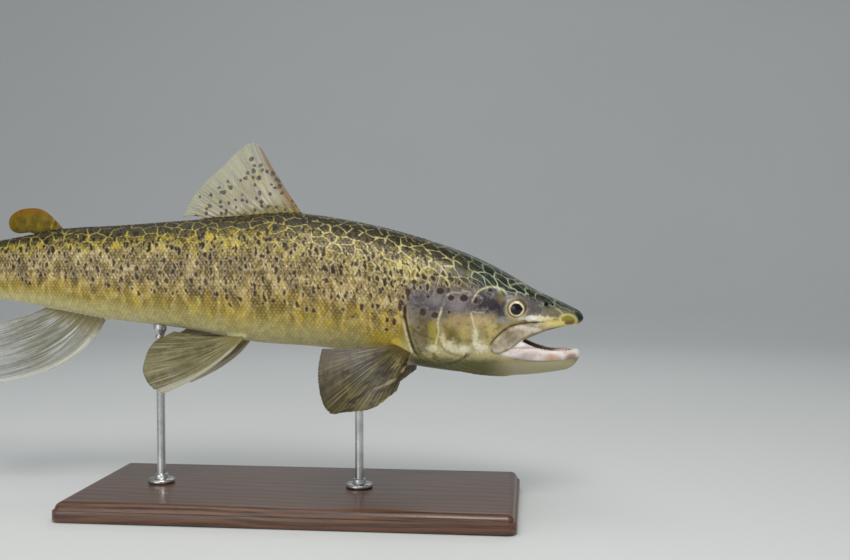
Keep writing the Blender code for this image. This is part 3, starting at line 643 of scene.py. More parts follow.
def build_skin():
    fine = 0.85
    steps = [-2.6]
    while steps[-1] < TAIL_BASE + 3:
        s = steps[-1]
        if s < 168:
            d = fine
        elif s < 182:
            d = 1.2
        elif s < 304:
            d = 5.0
        elif s < 344:
            d = 1.9
        elif s < 448:
            d = 5.0
        elif s < 468:
            d = 1.6
        elif s < 534:
            d = 4.0
        elif s < 600:
            d = 5.0
        else:
            d = 1.4
        steps.append(s + d)
    s = np.array(steps)
    yh = np.arange(0, 43.5, 0.88)
    z = np.arange(125.0, 286.0, 0.88)
    F = build_field(s, yh, z)
    F = np.concatenate([F[:, :0:-1], F], 1)
    y = np.concatenate([-yh[:0:-1], yh])
    verts, quads = surface_net(F, s, y, z)
    # settle the points once towards their neighbours' mean, to take off the grain of the grid
    for _ in range(1):
        tot = np.zeros_like(verts)
        cnt = np.zeros(len(verts))
        for a, b in ((0, 1), (1, 2), (2, 3), (3, 0)):
            for k in range(3):
                tot[:, k] += np.bincount(quads[:, a], weights=verts[quads[:, b], k], minlength=len(verts))
                tot[:, k] += np.bincount(quads[:, b], weights=verts[quads[:, a], k], minlength=len(verts))
            cnt += np.bincount(quads[:, a], minlength=len(verts)) + np.bincount(quads[:, b], minlength=len(verts))
        mean = tot / cnt[:, None]
        w = 0.35 * smoothstep(200, 150, verts[:, 0])[:, None]
        verts = verts + (mean - verts) * w
    skin = mesh_object("skin", place(verts), quads[:, ::-1])
    bm = bmesh.new()
    bm.from_mesh(skin.data)
    if bm.calc_volume(signed=True) < 0:
        bm.free()
        skin.data.flip_normals()
    else:
        bm.free()
    skin_attributes(skin, verts)
    bone_lip_shade_relief, rim_highlights = skin_parts(verts)
    vector_attribute(skin, "bone_lip_shade_relief", bone_lip_shade_relief)
    vector_attribute(skin, "rim_highlights", rim_highlights)
    return skin


# ------------------------------------------------------------------ fins
def along(edge, s0, s1, sink):
    return lambda u: (s0 + (s1 - s0) * u, 0.0, float(edge(s0 + (s1 - s0) * u)) + sink)


def on_side(a, b, lift):
    def f(u):
        s, z = a[0] + (b[0] - a[0]) * u, a[1] + (b[1] - a[1]) * u
        return tuple(np.array([s, float(side(s, z)), z]) + normal(s, z) * lift)
    return f


def on_belly(a, b, lift):
    def f(u):
        s, y = a[0] + (b[0] - a[0]) * u, a[1] + (b[1] - a[1]) * u
        return tuple(np.array([s, y, float(under(s, y))]) + normal(s, float(under(s, y)) + 0.01) * lift)
    return f


def fin(name, base, tips, front, rear, reach, rays, sign=1, per=10, rows=56, root=4.0, ray=(1.5, 0.5),
        web=(0.55, 0.3), flare=0.10, split=(0.38, 0.74), sink=3.0, wave=0.5, ragged=0.010, leading=1.7, seed=1):
    """A fin of soft rays.  Every ray is a low ridge on both faces that forks twice on
    its way to the margin, with thin web between; the root swells into the body."""
    rng = np.random.default_rng(seed)
    keys = [t[0] for t in tips]
    fs, fy, fz = (spline(keys, [t[1][k] for t in tips]) for k in range(3))
    nu = rays * per + 1
    u = np.linspace(0, 1, nu)
    v = np.linspace(0, 1, rows + 1) ** 0.92
    P0 = np.array([base(x) for x in u], float)
    P2 = np.stack([fs(u), fy(u), fz(u)], 1)
    d = np.array(front, float)[None] * (1 - u[:, None]) + np.array(rear, float)[None] * u[:, None]
    d /= np.linalg.norm(d, axis=1)[:, None]
    P1 = P0 + d * np.linalg.norm(P2 - P0, axis=1)[:, None] * reach
    P0 = P0 - d * sink
    # where each column lies between two rays, and the fork pattern
    f = u * rays
    cell = np.clip(np.floor(f), 0, rays - 1)
    w = f - cell - 0.5
    V = v[None, :]
    b1 = 0.25 * smoothstep(split[0], split[0] + 0.30, V)
    b2 = 0.115 * smoothstep(split[1], split[1] + 0.22, V)
    simple = (cell < (2 if rays > 9 else 1)).astype(float)[:, None]
    b1, b2 = b1 * (1 - simple), b2 * (1 - simple)
    wid = 0.20 - 0.10 * smoothstep(0.3, 0.95, V)
    ridge = np.zeros((nu, rows + 1))
    for q1 in (-1, 1):
        for q2 in (-1, 1):
            c = q1 * b1 + q2 * b2
            ridge = np.maximum(ridge, np.exp(-((w[:, None] - c) / wid) ** 2))
    # uneven margin: webs fall a little short between the rays
    short = ragged * (1 - ridge[:, -1]) + 0.010 * rng.random(rays + 1)[np.clip(cell, 0, rays).astype(int)]
    VV = V * (1 - short[:, None])
    grid = (P0[:, None] * ((1 - VV) ** 2)[..., None] + P1[:, None] * (2 * VV * (1 - VV))[..., None]
            + P2[:, None] * (VV ** 2)[..., None])
    gu, gv = np.gradient(grid, axis=0), np.gradient(grid, axis=1)
    nrm = np.cross(gu, gv)
    nrm /= np.linalg.norm(nrm, axis=2)[:, :, None] + 1e-12
    ripple = wave * (np.sin(u * math.pi * rays * 0.42 + seed)[:, None] * V ** 1.4
                     + 0.5 * np.sin(u * 19.0 + 2 * seed)[:, None] * V ** 2)
    grid = grid + nrm * ripple[..., None]
    chord = np.linalg.norm(np.diff(grid, axis=0), axis=2)
    dist = np.concatenate([np.zeros((1, rows + 1)), np.cumsum(chord, 0)])
    to_edge = np.minimum(dist, dist[-1] - dist)
    rim = np.sqrt(np.clip(1 - (1 - np.clip(to_edge / 1.1, 0, 1)) ** 2, 0, 1)) * 0.85 + 0.15
    ray_h = 0.5 * (ray[0] + (ray[1] - ray[0]) * V ** 0.75)
    lead = 1 + (leading - 1) * np.exp(-(f[:, None] / 0.9) ** 2)
    h = 0.5 * (web[0] + (web[1] - web[0]) * V) + np.maximum(ray_h * lead - 0.15, 0) * ridge
    h = h + 0.5 * root * np.clip(1 - V / flare, 0, 1) ** 1.6
    h = np.maximum(h * rim, 0.12)
    co, at, rest = [], [], []
    for k in (-1, 1):
        p = grid + nrm * (h * k)[..., None]
        rest.append(p.reshape(-1, 3))
        at.append(np.stack([np.repeat(f, rows + 1), np.tile(v, nu), ridge.ravel()], 1))
    rest = np.vstack(rest)
    rest[:, 1] *= sign
    idx = np.arange(nu * (rows + 1)).reshape(nu, rows + 1)
    q = np.stack([idx[:-1, :-1], idx[1:, :-1], idx[1:, 1:], idx[:-1, 1:]], -1).reshape(-1, 4)
    n = nu * (rows + 1)
    loop = np.concatenate([idx[:-1, 0], idx[-1, :-1], idx[:0:-1, -1], idx[0, :0:-1]])
    nxt = np.roll(loop, -1)
    side_q = np.stack([loop, nxt, nxt + n, loop + n], 1)
    ob = mesh_object(name, place(rest), [np.vstack([q[:, ::-1], q + n, side_q])])
    bm = bmesh.new()
    bm.from_mesh(ob.data)
    bmesh.ops.recalc_face_normals(bm, faces=bm.faces)
    if bm.calc_volume(signed=True) < 0:
        bmesh.ops.reverse_faces(bm, faces=bm.faces)
    bm.to_mesh(ob.data)
    bm.free()
    vector_attribute(ob, "fin", np.vstack(at))
    vector_attribute(ob, "rest", rest / 10)
    return ob


def fleshy_lobe(name, outline, thick, foot_edge):
    """The adipose fin: a soft lobe without rays, pinched towards its rim."""
    n = len(outline)
    centre = outline.mean(0)
    rings = np.concatenate([[0.0], np.linspace(0.06, 1.0, 26)])
    rest, at = [], []
    for k in (-1, 1):
        for f in rings[1:]:
            pts = centre + (outline - centre) * f
            h = 0.5 * (0.35 + (thick - 0.35) * np.sqrt(np.clip(1 - f ** 2.4, 0, 1)))
            near = smoothstep(9, 0, pts[:, 1] - foot_edge(pts[:, 0]))
            h = h * (1 + 0.9 * near)
            h = h + 0.10 * np.sin((pts[:, 0] * 0.62 + pts[:, 1] * 0.9) * 1.5) * smoothstep(1.0, 0.7, f)
            rest.append(np.stack([pts[:, 0], k * np.maximum(h, 0.16), pts[:, 1]], 1))
            at.append(np.stack([np.arange(n) / n, np.full(n, f), np.zeros(n)], 1))
        rest.append(np.array([[centre[0], k * 0.5 * thick, centre[1]]]))
        at.append(np.zeros((1, 3)))
    rest = np.vstack(rest)
    m = len(rings) - 1
    per = m * n + 1
    i = np.arange(n)
    j = (i + 1) % n
    quads, tris = [], []
    for side_k in (0, 1):
        o = side_k * per
        for r in range(m - 1):
            a = o + r * n
            quads.append(np.stack([a + i, a + j, a + n + j, a + n + i], 1))
        tris.append(np.stack([np.full(n, o + m * n), o + i, o + j], 1))
    a, b = (m - 1) * n, per + (m - 1) * n
    quads.append(np.stack([a + i, a + j, b + j, b + i], 1))
    ob = mesh_object(name, place(rest), [np.vstack(quads), np.vstack(tris)])
    bm = bmesh.new()
    bm.from_mesh(ob.data)
    bmesh.ops.recalc_face_normals(bm, faces=bm.faces)
    if bm.calc_volume(signed=True) < 0:
        bmesh.ops.reverse_faces(bm, faces=bm.faces)
    bm.to_mesh(ob.data)
    bm.free()
    vector_attribute(ob, "fin", np.vstack(at))
    vector_attribute(ob, "rest", rest / 10)
    return ob


def build_fins():
    out = {}
    out["dorsal_fin"] = fin("dorsal", along(back, 267, 361, 0.4),
                            ((0, (304, 0, 339)), (0.07, (310.5, 0, 346.5)), (0.15, (319, 0, 347.5)), (0.24, (329, 0, 340)),
                             (0.38, (343.5, 0, 326.5)), (0.54, (357.5, 0, 314)), (0.70, (369, 0, 302.7)),
                             (0.86, (377.5, 0, 290)), (1, (384, 0, 276.4))),
                            (0.58, 0, 0.82), (0.86, 0, 0.5), 0.45, rays=14, per=11, rows=60, root=5.5, flare=0.13,
                            ray=(1.6, 0.5), wave=0.7, seed=3)
    out["anal_fin"] = fin("anal", along(belly, 463, 525, -0.4),
                          ((0, (586, 0, 111)), (0.14, (594, 0, 115)), (0.32, (597, 0, 127)), (0.55, (594, 0, 143)),
                           (0.8, (586, 0, 159)), (1, (577, 0, 172))),
                          (0.37, 0, -0.92), (0.88, 0, -0.42), 0.42, rays=12, per=11, rows=60, root=4.6, flare=0.10,
                          ray=(1.7, 0.5), wave=1.0, seed=5)
    for tag, sign in (("R", -1), ("L", 1)):
        out["pectoral_fin_" + tag] = fin(
            "pectoral_" + tag, on_side((159.4, 151.0), (173.2, 158.6), 0.75),
            ((0, (165.5, 77, 121)), (0.15, (181, 83, 110.5)), (0.35, (204, 82, 103.6)), (0.55, (228, 75, 102.4)),
             (0.72, (237, 66, 118)), (0.86, (240, 58, 138)), (1, (238, 50, 156))),
            (0.05, 0.93, -0.36), (0.62, 0.72, -0.05), 0.42, rays=13, sign=sign, per=11, rows=58, root=5.0, flare=0.22,
            ray=(1.7, 0.5), wave=0.8, seed=7, split=(0.45, 0.76))
        out["pelvic_fin_" + tag] = fin(
            "pelvic_" + tag, on_belly((318.5, 17.0), (332, 12.5), 0.8),
            ((0, (392.5, 38, 110)), (0.2, (405, 37, 117)), (0.42, (413, 34, 130)), (0.62, (413, 30, 144)),
             (0.82, (405, 25, 157)), (1, (387, 20, 168))),
            (0.45, 0.50, -0.74), (0.88, 0.30, -0.02), 0.45, rays=10, sign=sign, per=11, rows=54, root=4.2, flare=0.16,
            ray=(1.6, 0.5), wave=0.8, seed=9)
    hi, lo = float(back(TAIL_BASE)) - 0.6, float(belly(TAIL_BASE)) + 0.6
    out["tail_fin"] = fin("tail", lambda u: (TAIL_BASE + 0.4, 0.0, hi + (lo - hi) * u),
                          ((0, (688, 0, 304)), (0.06, (698, 0, 299)), (0.2, (698.5, 0, 274)), (0.35, (696, 0, 248)),
                           (0.5, (695, 0, 223)), (0.65, (696, 0, 198)), (0.8, (698.5, 0, 172)), (0.94, (698, 0, 147)),
                           (1, (688, 0, 142))),
                          (0.78, 0, 0.62), (0.78, 0, -0.62), 0.45, rays=20, per=10, rows=58, root=9.5, flare=0.30,
                          ray=(1.9, 0.6), wave=0.5, sink=8.0, leading=1.3, seed=11)
    lobe = [(518, 277), (528.5, 284.2), (540, 286), (553, 284.3), (562.5, 278.4), (565.2, 270.5), (562, 264),
            (554.5, 261.2), (542.5, 261.9)]
    foot = [(q, float(back(q)) - 1.6) for q in (532, 525, 518, 511, 506)]
    out["adipose_fin"] = fleshy_lobe("adipose", closed_curve(lobe + foot, 84), 3.6, back)
    return out


# ------------------------------------------------------------------ scales
ROW_S, ROW_G = 3.87, 2.85        # spacing along the body and between rows
SCALE_L, SCALE_W = 6.5, 5.4      # a single scale


def scale_seeds():
    """Rows run parallel to the lateral line; neighbouring rows are half a step apart."""
    seeds = []
    rng = np.random.default_rng(42)
    for j in range(-40, 41):
        off = 0.5 * (j % 2)
        for i in range(0, 124):
            s = 140.0 + (i + off) * ROW_S
            if s > 607.0:
                continue
            seeds.append((s, j * ROW_G, j))
    a = np.array(seeds)
    s, rel, row = a[:, 0], a[:, 1], a[:, 2]
    g = np.interp(s, TAB_S, lateral_arc(TAB_S)) + rel
    G = girth(s)
    ok = (g > 0.55 * ROW_G) & (g < G - 0.55 * ROW_G)
    # front edge of the scaled area follows the gill cover and shoulder
    z = bilinear(TAB_Z, s, g / G, TAB_N)
    ok &= s > scale_front(z) + 2.6
    # bare skin round the roots of the paired fins
    pec = np.hypot((s - 167.5) / 13.0, (z - 155.5) / 7.2) < 1
    y = bilinear(TAB_Y, s, g / G, TAB_N)
    pel = np.hypot((s - 326.5) / 11.5, (y - 14.3) / 5.5) < 1
    ok &= ~pec & ~(pel & (z < 176))
    ok &= ~((np.abs(s - 459) < 5.5) & (y < 4.5) & (z < 190))
    return s[ok], g[ok], row[ok], rng.random((int(ok.sum()), 6))


def scale_template():
    """Outline of one scale, root at x=0, free edge at x=1, half width 1; plus rings."""
    rim = np.array([(0.10, -0.42), (0.05, 0.0), (0.10, 0.42), (0.34, 0.86), (0.60, 1.0), (0.80, 0.86), (0.94, 0.50),
                    (1.0, 0.0), (0.94, -0.50), (0.80, -0.86), (0.60, -1.0), (0.34, -0.86)])
    inner = rim * 0.0
    inner[:, 0] = 0.58 + (rim[:, 0] - 0.58) * 0.62
    inner[:, 1] = rim[:, 1] * 0.62
    return rim, inner


def build_scales(tag, sign, s, g, row, rnd):
    rim, inner = scale_template()
    n, k = len(s), len(rim)
    t = girth(s)
    # scales a little smaller on the shoulder, belly and tail stalk
    size = 1.0 - 0.12 * smoothstep(0.72, 0.95, g / t) - 0.08 * smoothstep(190, 168, s) - 0.06 * smoothstep(540, 600, s)
    size = size * (0.96 + 0.08 * rnd[:, 0])
    turn = np.radians((rnd[:, 1] - 0.5) * 9)
    lift_r = 0.10 + 0.10 * rnd[:, 2]
    tpl = np.vstack([rim, inner, [(0.60, 0.0)]])
    ring_of = np.array([1.0] * k + [0.55] * k + [0.0])
    x = (tpl[None, :, 0] - 0.5) * SCALE_L * size[:, None]
    w = tpl[None, :, 1] * 0.5 * SCALE_W * size[:, None]
    cx, sx = np.cos(turn)[:, None], np.sin(turn)[:, None]
    ds, dg = x * cx - w * sx, x * sx + w * cx
    S = np.clip(s[:, None] + ds, TAB_S[0] + 2, TAIL_BASE - 0.2)
    # keep each point's place round the body in step as the girth changes along it
    lat_at = np.interp(S, TAB_S, lateral_arc(TAB_S))
    lat0 = np.interp(s, TAB_S, lateral_arc(TAB_S))
    Gp = np.clip(g[:, None] - lat0[:, None] + lat_at + dg, 0.02, girth(S) - 0.02)
    P, N = on_section(S, Gp)
    along_x = tpl[None, :, 0]
    dome = 0.16 * (1 - ring_of[None] ** 2)
    rise = -0.42 + (0.60 + lift_r[:, None]) * along_x ** 1.25
    top = P + N * (rise + dome + SCALE_DEPTH * 0.0)[..., None]
    thick = 0.16
    low = P + N * (rise + dome * 0.4 - thick)[..., None]
    low_i = np.concatenate([np.arange(k), [2 * k]])
    rest = np.concatenate([top, low[:, low_i]], 1)
    m = rest.shape[1]
    i = np.arange(k)
    j = (i + 1) % k
    quads = np.concatenate([np.stack([i, j, k + j, k + i], 1),
                            np.stack([j, i, 2 * k + 1 + i, 2 * k + 1 + j], 1)])
    tris = np.concatenate([np.stack([k + i, k + j, np.full(k, 2 * k)], 1),
                           np.stack([2 * k + 1 + j, 2 * k + 1 + i, np.full(k, 3 * k + 1)], 1)])
    base = (np.arange(n) * m)[:, None, None]
    Q = (quads[None] + base).reshape(-1, 4)
    T = (tris[None] + base).reshape(-1, 3)
    rest = rest.reshape(-1, 3)
    rest[:, 1] *= sign
    if sign > 0:
        Q, T = Q[:, ::-1], T[:, ::-1]
    ob = mesh_object("scales_" + tag, place(rest), [Q, T])
    ob.data.set_sharp_from_angle(angle=math.radians(58))
    full = np.concatenate([np.arange(2 * k + 1), low_i])
    rim_share = np.concatenate([ring_of, ring_of[low_i]])
    edge = np.repeat(rim_share[None], n, 0)
    ax = np.repeat(tpl[full][None, :, 0], n, 0)
    arc = Gp[:, full]
    Sx = S[:, full]
    lat = lat_at[:, full] - arc
    h = (rest.reshape(n, m, 3)[..., 2] - belly(Sx)) / (back(Sx) - belly(Sx))
    vector_attribute(ob, "rest", rest / 10)
    vector_attribute(ob, "flat", np.stack([Sx / 10, -sign * -1 * arc / 10 * -1, h], -1).reshape(-1, 3))
    vector_attribute(ob, "zone", np.stack([lat / 10, np.zeros_like(lat), np.zeros_like(lat)], -1).reshape(-1, 3))
    vector_attribute(ob, "scale", np.stack([edge, ax, np.repeat(rnd[:, 3:4], m, 1)], -1).reshape(-1, 3))
    # baking map: a small patch for each scale at its root's place on the unrolled flank
    uv = ob.data.uv_layers.new(name="OFBake")
    lo, hi = s.min(), s.max()
    u0 = 0.01 + 0.98 * (s - lo) / (hi - lo)
    v0 = 0.01 + 0.98 * g / t.max()
    pu = u0[:, None] + (tpl[full][None, :, 0] - 0.5) * 0.003
    pv = v0[:, None] + tpl[full][None, :, 1] * 0.0014
    loops = np.zeros(len(ob.data.loops), np.int32)
    ob.data.loops.foreach_get("vertex_index", loops)
    uv.data.foreach_set("uv", np.stack([pu.ravel()[loops], pv.ravel()[loops]], 1).astype(np.float32).ravel())
    return ob


def build_all_scales():
    s, g, row, rnd = scale_seeds()
    out = []
    cut = (130, 254, 360, 620)
    for tag, sign in (("R", -1), ("L", 1)):
        shift = rnd if sign < 0 else rnd[:, ::-1]
        for q in range(3):
            m = (s >= cut[q]) & (s < cut[q + 1])
            out.append(build_scales(f"{tag}{q + 1}", sign, s[m], g[m], row[m], shift[m]))
    return out


# ------------------------------------------------------------------ eyes, teeth, tongue
def lathe_y(rows, centre, sign, segments=64):
    """Rings of (radius, y) round a sideways axis; the first and last close on the axis."""
    rest, faces = [], []
    cs, cz = centre
    t = np.linspace(0, 2 * math.pi, segments, endpoint=False)
    for r, y in rows:
        rest.append(np.stack([cs + r * np.cos(t), np.full(segments, sign * y), cz + r * np.sin(t)], 1))
    n = len(rows)
    rest = np.vstack(rest)
    first, last = np.array([[cs, sign * rows[0][1], cz]]), np.array([[cs, sign * rows[-1][1], cz]])
    rest = np.vstack([rest, first, last])
    i = np.arange(segments)
    j = (i + 1) % segments
    quads = [np.stack([k * segments + i, k * segments + j, (k + 1) * segments + j, (k + 1) * segments + i], 1) for k in range(n - 1)]
    tris = [np.stack([np.full(segments, n * segments), j, i], 1),
            np.stack([np.full(segments, n * segments + 1), (n - 1) * segments + i, (n - 1) * segments + j], 1)]
    return rest, [np.vstack(quads), np.vstack(tris)]


def outward(ob):
    bm = bmesh.new()
    bm.from_mesh(ob.data)
    bmesh.ops.recalc_face_normals(bm, faces=bm.faces)
    if bm.calc_volume(signed=True) < 0:
        bmesh.ops.reverse_faces(bm, faces=bm.faces)
    bm.to_mesh(ob.data)
    bm.free()


def build_eye(tag, sign):
    """Lens-shaped eyeball, deep in its socket, with a low bulge of the cornea."""
    R, T = 10.5, 6.2
    rows = []
    for a in np.linspace(math.radians(88), math.radians(1.2), 46):
        r = R * math.cos(a) if a < math.pi / 2 else 0.0
        y = T * math.sin(a)
        bulge = 0.55 * math.exp(-(r / 5.0) ** 2)
        rows.append((r, EYE_Y + y + bulge - 0.25))
    for a in np.linspace(math.radians(-14), math.radians(-86), 12):
        rows.append((R * math.cos(a), EYE_Y + T * math.sin(a)))
    rest, faces = lathe_y(rows, (EYE_S, EYE_Z), sign)
    ob = mesh_object("eye_ball_" + tag, place(rest), faces)
    outward(ob)
    vector_attribute(ob, "rest", rest / 10)
    return ob


def build_teeth():
    """Small curved cones set along the inner edge of both jaws."""
    lip_up = spline([p[0] for p in UPPER_LIP], [p[1] for p in UPPER_LIP])
    low = sorted(LOWER_LIP)
    lip_low = spline([p[0] for p in low], [p[1] for p in low])
    rng = np.random.default_rng(8)
    rest, quads, tris = [], [], []
    count = 0
    seg = 8
    for upper in (True, False):
        n = 15 if upper else 11
        for q in range(n):
            s = (7.0 + 3.15 * q) if upper else (8.6 + 3.2 * q)
            for sign in (-1, 1):
                j = rng.random(3)
                if upper:
                    z = float(lip_up(s)) + 0.7
                    y = float(side(s, z)) - 3.3
                    up = -1
                else:
                    z = float(lip_low(s)) - 0.6
                    k = 0.86 + 0.14 * min(1.0, max(0.0, (s - 20) / 32.0))
                    y = float(half_curve(s) * k * nose(s, JAW_TIP, 14)) - 3.7
                    up = 1
                H = (2.5 if q in (1, 2, 3) else 2.0) * (0.85 + 0.3 * j[0])
                R = 0.62 * (0.9 + 0.2 * j[1])
                for r in range(6):
                    f = r / 5
                    rad = R * (1 - f) ** 0.75 + 0.05
                    cx = s + 0.95 * f ** 2 + 0.3 * (j[2] - 0.5)
                    cy = sign * (y - 0.5 * f ** 2)
                    cz = z + up * (H * f - 0.5)
                    t = np.linspace(0, 2 * math.pi, seg, endpoint=False)
                    rest.append(np.stack([cx + rad * np.cos(t), cy + rad * np.sin(t), np.full(seg, cz)], 1))
                o = count * seg * 6
                i = np.arange(seg)
                jn = (i + 1) % seg
                for r in range(5):
                    quads.append(np.stack([o + r * seg + i, o + r * seg + jn, o + (r + 1) * seg + jn, o + (r + 1) * seg + i], 1))
                quads.append(np.array([[o + 0, o + 1, o + 2, o + 3], [o + 0, o + 3, o + 4, o + 7], [o + 4, o + 5, o + 6, o + 7]]))
                e = o + 5 * seg
                quads.append(np.array([[e + 3, e + 2, e + 1, e + 0], [e + 7, e + 4, e + 3, e + 0], [e + 7, e + 6, e + 5, e + 4]]))
                count += 1
    rest = np.vstack(rest)
    ob = mesh_object("teeth", place(rest), [np.vstack(quads)])
    outward(ob)
    vector_attribute(ob, "rest", rest / 10)
    return ob


def build_tongue():
    """A low fleshy pad on the floor of the mouth, grooved down its middle."""
    lo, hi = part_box("tongue")
    keys = (15.0, 19, 30, 45, 58, 64)
    wid = spline(keys, (3.0, 6.0, 8.4, 9.4, 9.2, 7.2))
    hig = spline(keys, (2.2, 3.2, 4.0, 4.6, 4.4, 3.0))
    floor_at = lambda s: float(np.interp(s, [m[0] for m in MOUTH], [m[2] for m in MOUTH]))
    rows, seg = [], 44
    t = np.linspace(0, 2 * math.pi, seg, endpoint=False)
    ss = np.concatenate([[14.2, 14.6], np.linspace(15.3, 63.4, 40), [63.8]])
    for s in ss:
        end = math.sqrt(max(0.02, 1 - (1 - min(1.0, (s - 14.1) / 5.0)) ** 2)) * math.sqrt(max(0.02, 1 - (1 - min(1.0, (64.1 - s) / 4.0)) ** 2))
        w, h = float(wid(s)) * end, float(hig(s)) * end
        z0 = floor_at(s) + 1.3 + float(hig(s))
        c, d = np.cos(t), np.sin(t)
        groove = 0.55 * np.exp(-(d / 0.16) ** 2) * (c > 0) * smoothstep(16, 24, s)
        knobs = 0.16 * np.sin(s * 1.9 + 9 * d) * (c > 0.2)
        rows.append(np.stack([np.full(seg, s), w * d, z0 + (h * np.sign(c) * np.abs(c) ** 0.9) - groove + knobs], 1))
    n = len(rows)
    rest = np.vstack(rows + [[[ss[0] - 0.2, 0, rows[0][:, 2].mean()]], [[ss[-1] + 0.2, 0, rows[-1][:, 2].mean()]]])
    i = np.arange(seg)
    j = (i + 1) % seg
    quads = np.vstack([np.stack([k * seg + i, k * seg + j, (k + 1) * seg + j, (k + 1) * seg + i], 1) for k in range(n - 1)])
    tris = np.vstack([np.stack([np.full(seg, n * seg), i, j], 1), np.stack([np.full(seg, n * seg + 1), (n - 1) * seg + j, (n - 1) * seg + i], 1)])
    ob = mesh_object("tongue_pad", place(rest), [quads, tris])
    outward(ob)
    vector_attribute(ob, "rest", rest / 10)
    return ob


# ------------------------------------------------------------------ display stand
def build_board():
    """Hardwood board with rounded corners and a routed edge."""
    lo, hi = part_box("stand_base")
    L, W, H = hi.x - lo.x, hi.y - lo.y, hi.z - lo.z
    corner, seg = 0.009, 10
    # edge profile: (inset, height) from the underside up over the routed edge
    prof = [(0.0035, 0.0), (0.0018, 0.0004), (0.0006, 0.0012), (0.0, 0.0028), (0.0, 0.0092), (0.0004, 0.0104), (0.0014, 0.0110), (0.0022, 0.0112),
            (0.0025, 0.0118), (0.0029, 0.0136), (0.0041, 0.0154), (0.0058, 0.0168), (0.0078, 0.0176), (0.0098, 0.018)]
    rows = []
    for inset, z in prof:
        r = max(corner - inset, 0.0008)
        cx, cy = L / 2 - inset - r, W / 2 - inset - r
        pts = []
        for k, (sx, sy) in enumerate(((1, 1), (-1, 1), (-1, -1), (1, -1))):
            for q in range(seg + 1):
                a = math.pi / 2 * (k + q / seg)
                pts.append((sx * cx + r * math.cos(a), sy * cy + r * math.sin(a), z * H / 0.018))
        rows.append(pts)
    n = len(rows[0])
    co = np.array(rows).reshape(-1, 3)
    co[:, 0] += (lo.x + hi.x) / 2
    co[:, 1] += (lo.y + hi.y) / 2
    co[:, 2] += lo.z
    i = np.arange(n)
    j = (i + 1) % n
    quads = np.vstack([np.stack([k * n + i, k * n + j, (k + 1) * n + j, (k + 1) * n + i], 1) for k in range(len(rows) - 1)])
    me = bpy.data.meshes.new("board")
    me.from_pydata(co.tolist(), [], [list(map(int, q)) for q in quads] + [list(range(n - 1, -1, -1)), [(len(rows) - 1) * n + q for q in range(n)]])
    me.shade_smooth()
    me.set_sharp_from_angle(angle=math.radians(38))
    ob = bpy.data.objects.new("board", me)
    bpy.context.scene.collection.objects.link(ob)
    outward(ob)
    return ob


def build_rod(name, node, s):
    """Turned steel rod: foot flange, collar, shaft and a cup cut to the belly."""
    lo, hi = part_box(node)
    x, y = float(place((s, 0, 0))[0]), float(place((s, 0, 0))[1])
    b = float(belly(s))
    foot = lo.z * 1000
    prof = [(12.2, foot), (12.8, foot + 0.4), (13.0, foot + 1.0), (13.0, foot + 2.4), (12.7, foot + 3.2), (12.0, foot + 3.7), (10.8, foot + 4.0),
            (6.9, foot + 4.0), (6.6, foot + 4.3), (6.4, foot + 7.6), (6.0, foot + 8.2), (5.2, foot + 8.5), (4.1, foot + 8.6), (4.0, foot + 9.2),
            (4.0, b - 14.0), (4.15, b - 13.4), (4.9, b - 12.9), (5.0, b - 12.0), (4.9, b - 11.1), (4.15, b - 10.6), (4.0, b - 10.0),
            (4.3, b - 8.6), (5.2, b - 6.8), (6.1, b - 5.4), (6.4, b - 4.2), (6.4, b - 3.0)]
    seg = 48
    t = np.linspace(0, 2 * math.pi, seg, endpoint=False)
    rows = []
    for r, z in prof:
        rows.append(np.stack([x + r * MM * np.cos(t), y + r * MM * np.sin(t), np.full(seg, z * MM)], 1))
    for r, drop in ((6.4, 0.5), (6.1, 0.25), (5.4, 0.15), (3.6, 0.12), (1.8, 0.12)):
        px, py = r * np.cos(t), r * np.sin(t)
        z = under(s - px, py) - SCALE_DEPTH * 0.2 - drop
        rows.append(np.stack([x + px * MM, y + py * MM, z * MM], 1))
    n = len(rows)
    co = np.vstack(rows)
    i = np.arange(seg)
    j = (i + 1) % seg
    quads = [np.stack([k * seg + i, k * seg + j, (k + 1) * seg + j, (k + 1) * seg + i], 1) for k in range(n - 1)]
    me = bpy.data.meshes.new(name)
    faces = [list(map(int, q)) for q in np.vstack(quads)]
    faces += [list(range(seg - 1, -1, -1)), [(n - 1) * seg + q for q in range(seg)]]
    me.from_pydata(co.tolist(), [], faces)
    me.shade_smooth()
    me.set_sharp_from_angle(angle=math.radians(42))
    ob = bpy.data.objects.new(name, me)
    bpy.context.scene.collection.objects.link(ob)
    outward(ob)
    return ob


# ------------------------------------------------------------------ materials
def srgb(r, g, b):
    def f(c):
        c /= 255.0
        return c / 12.92 if c <= 0.04045 else ((c + 0.055) / 1.055) ** 2.4
    return (f(r), f(g), f(b), 1.0)


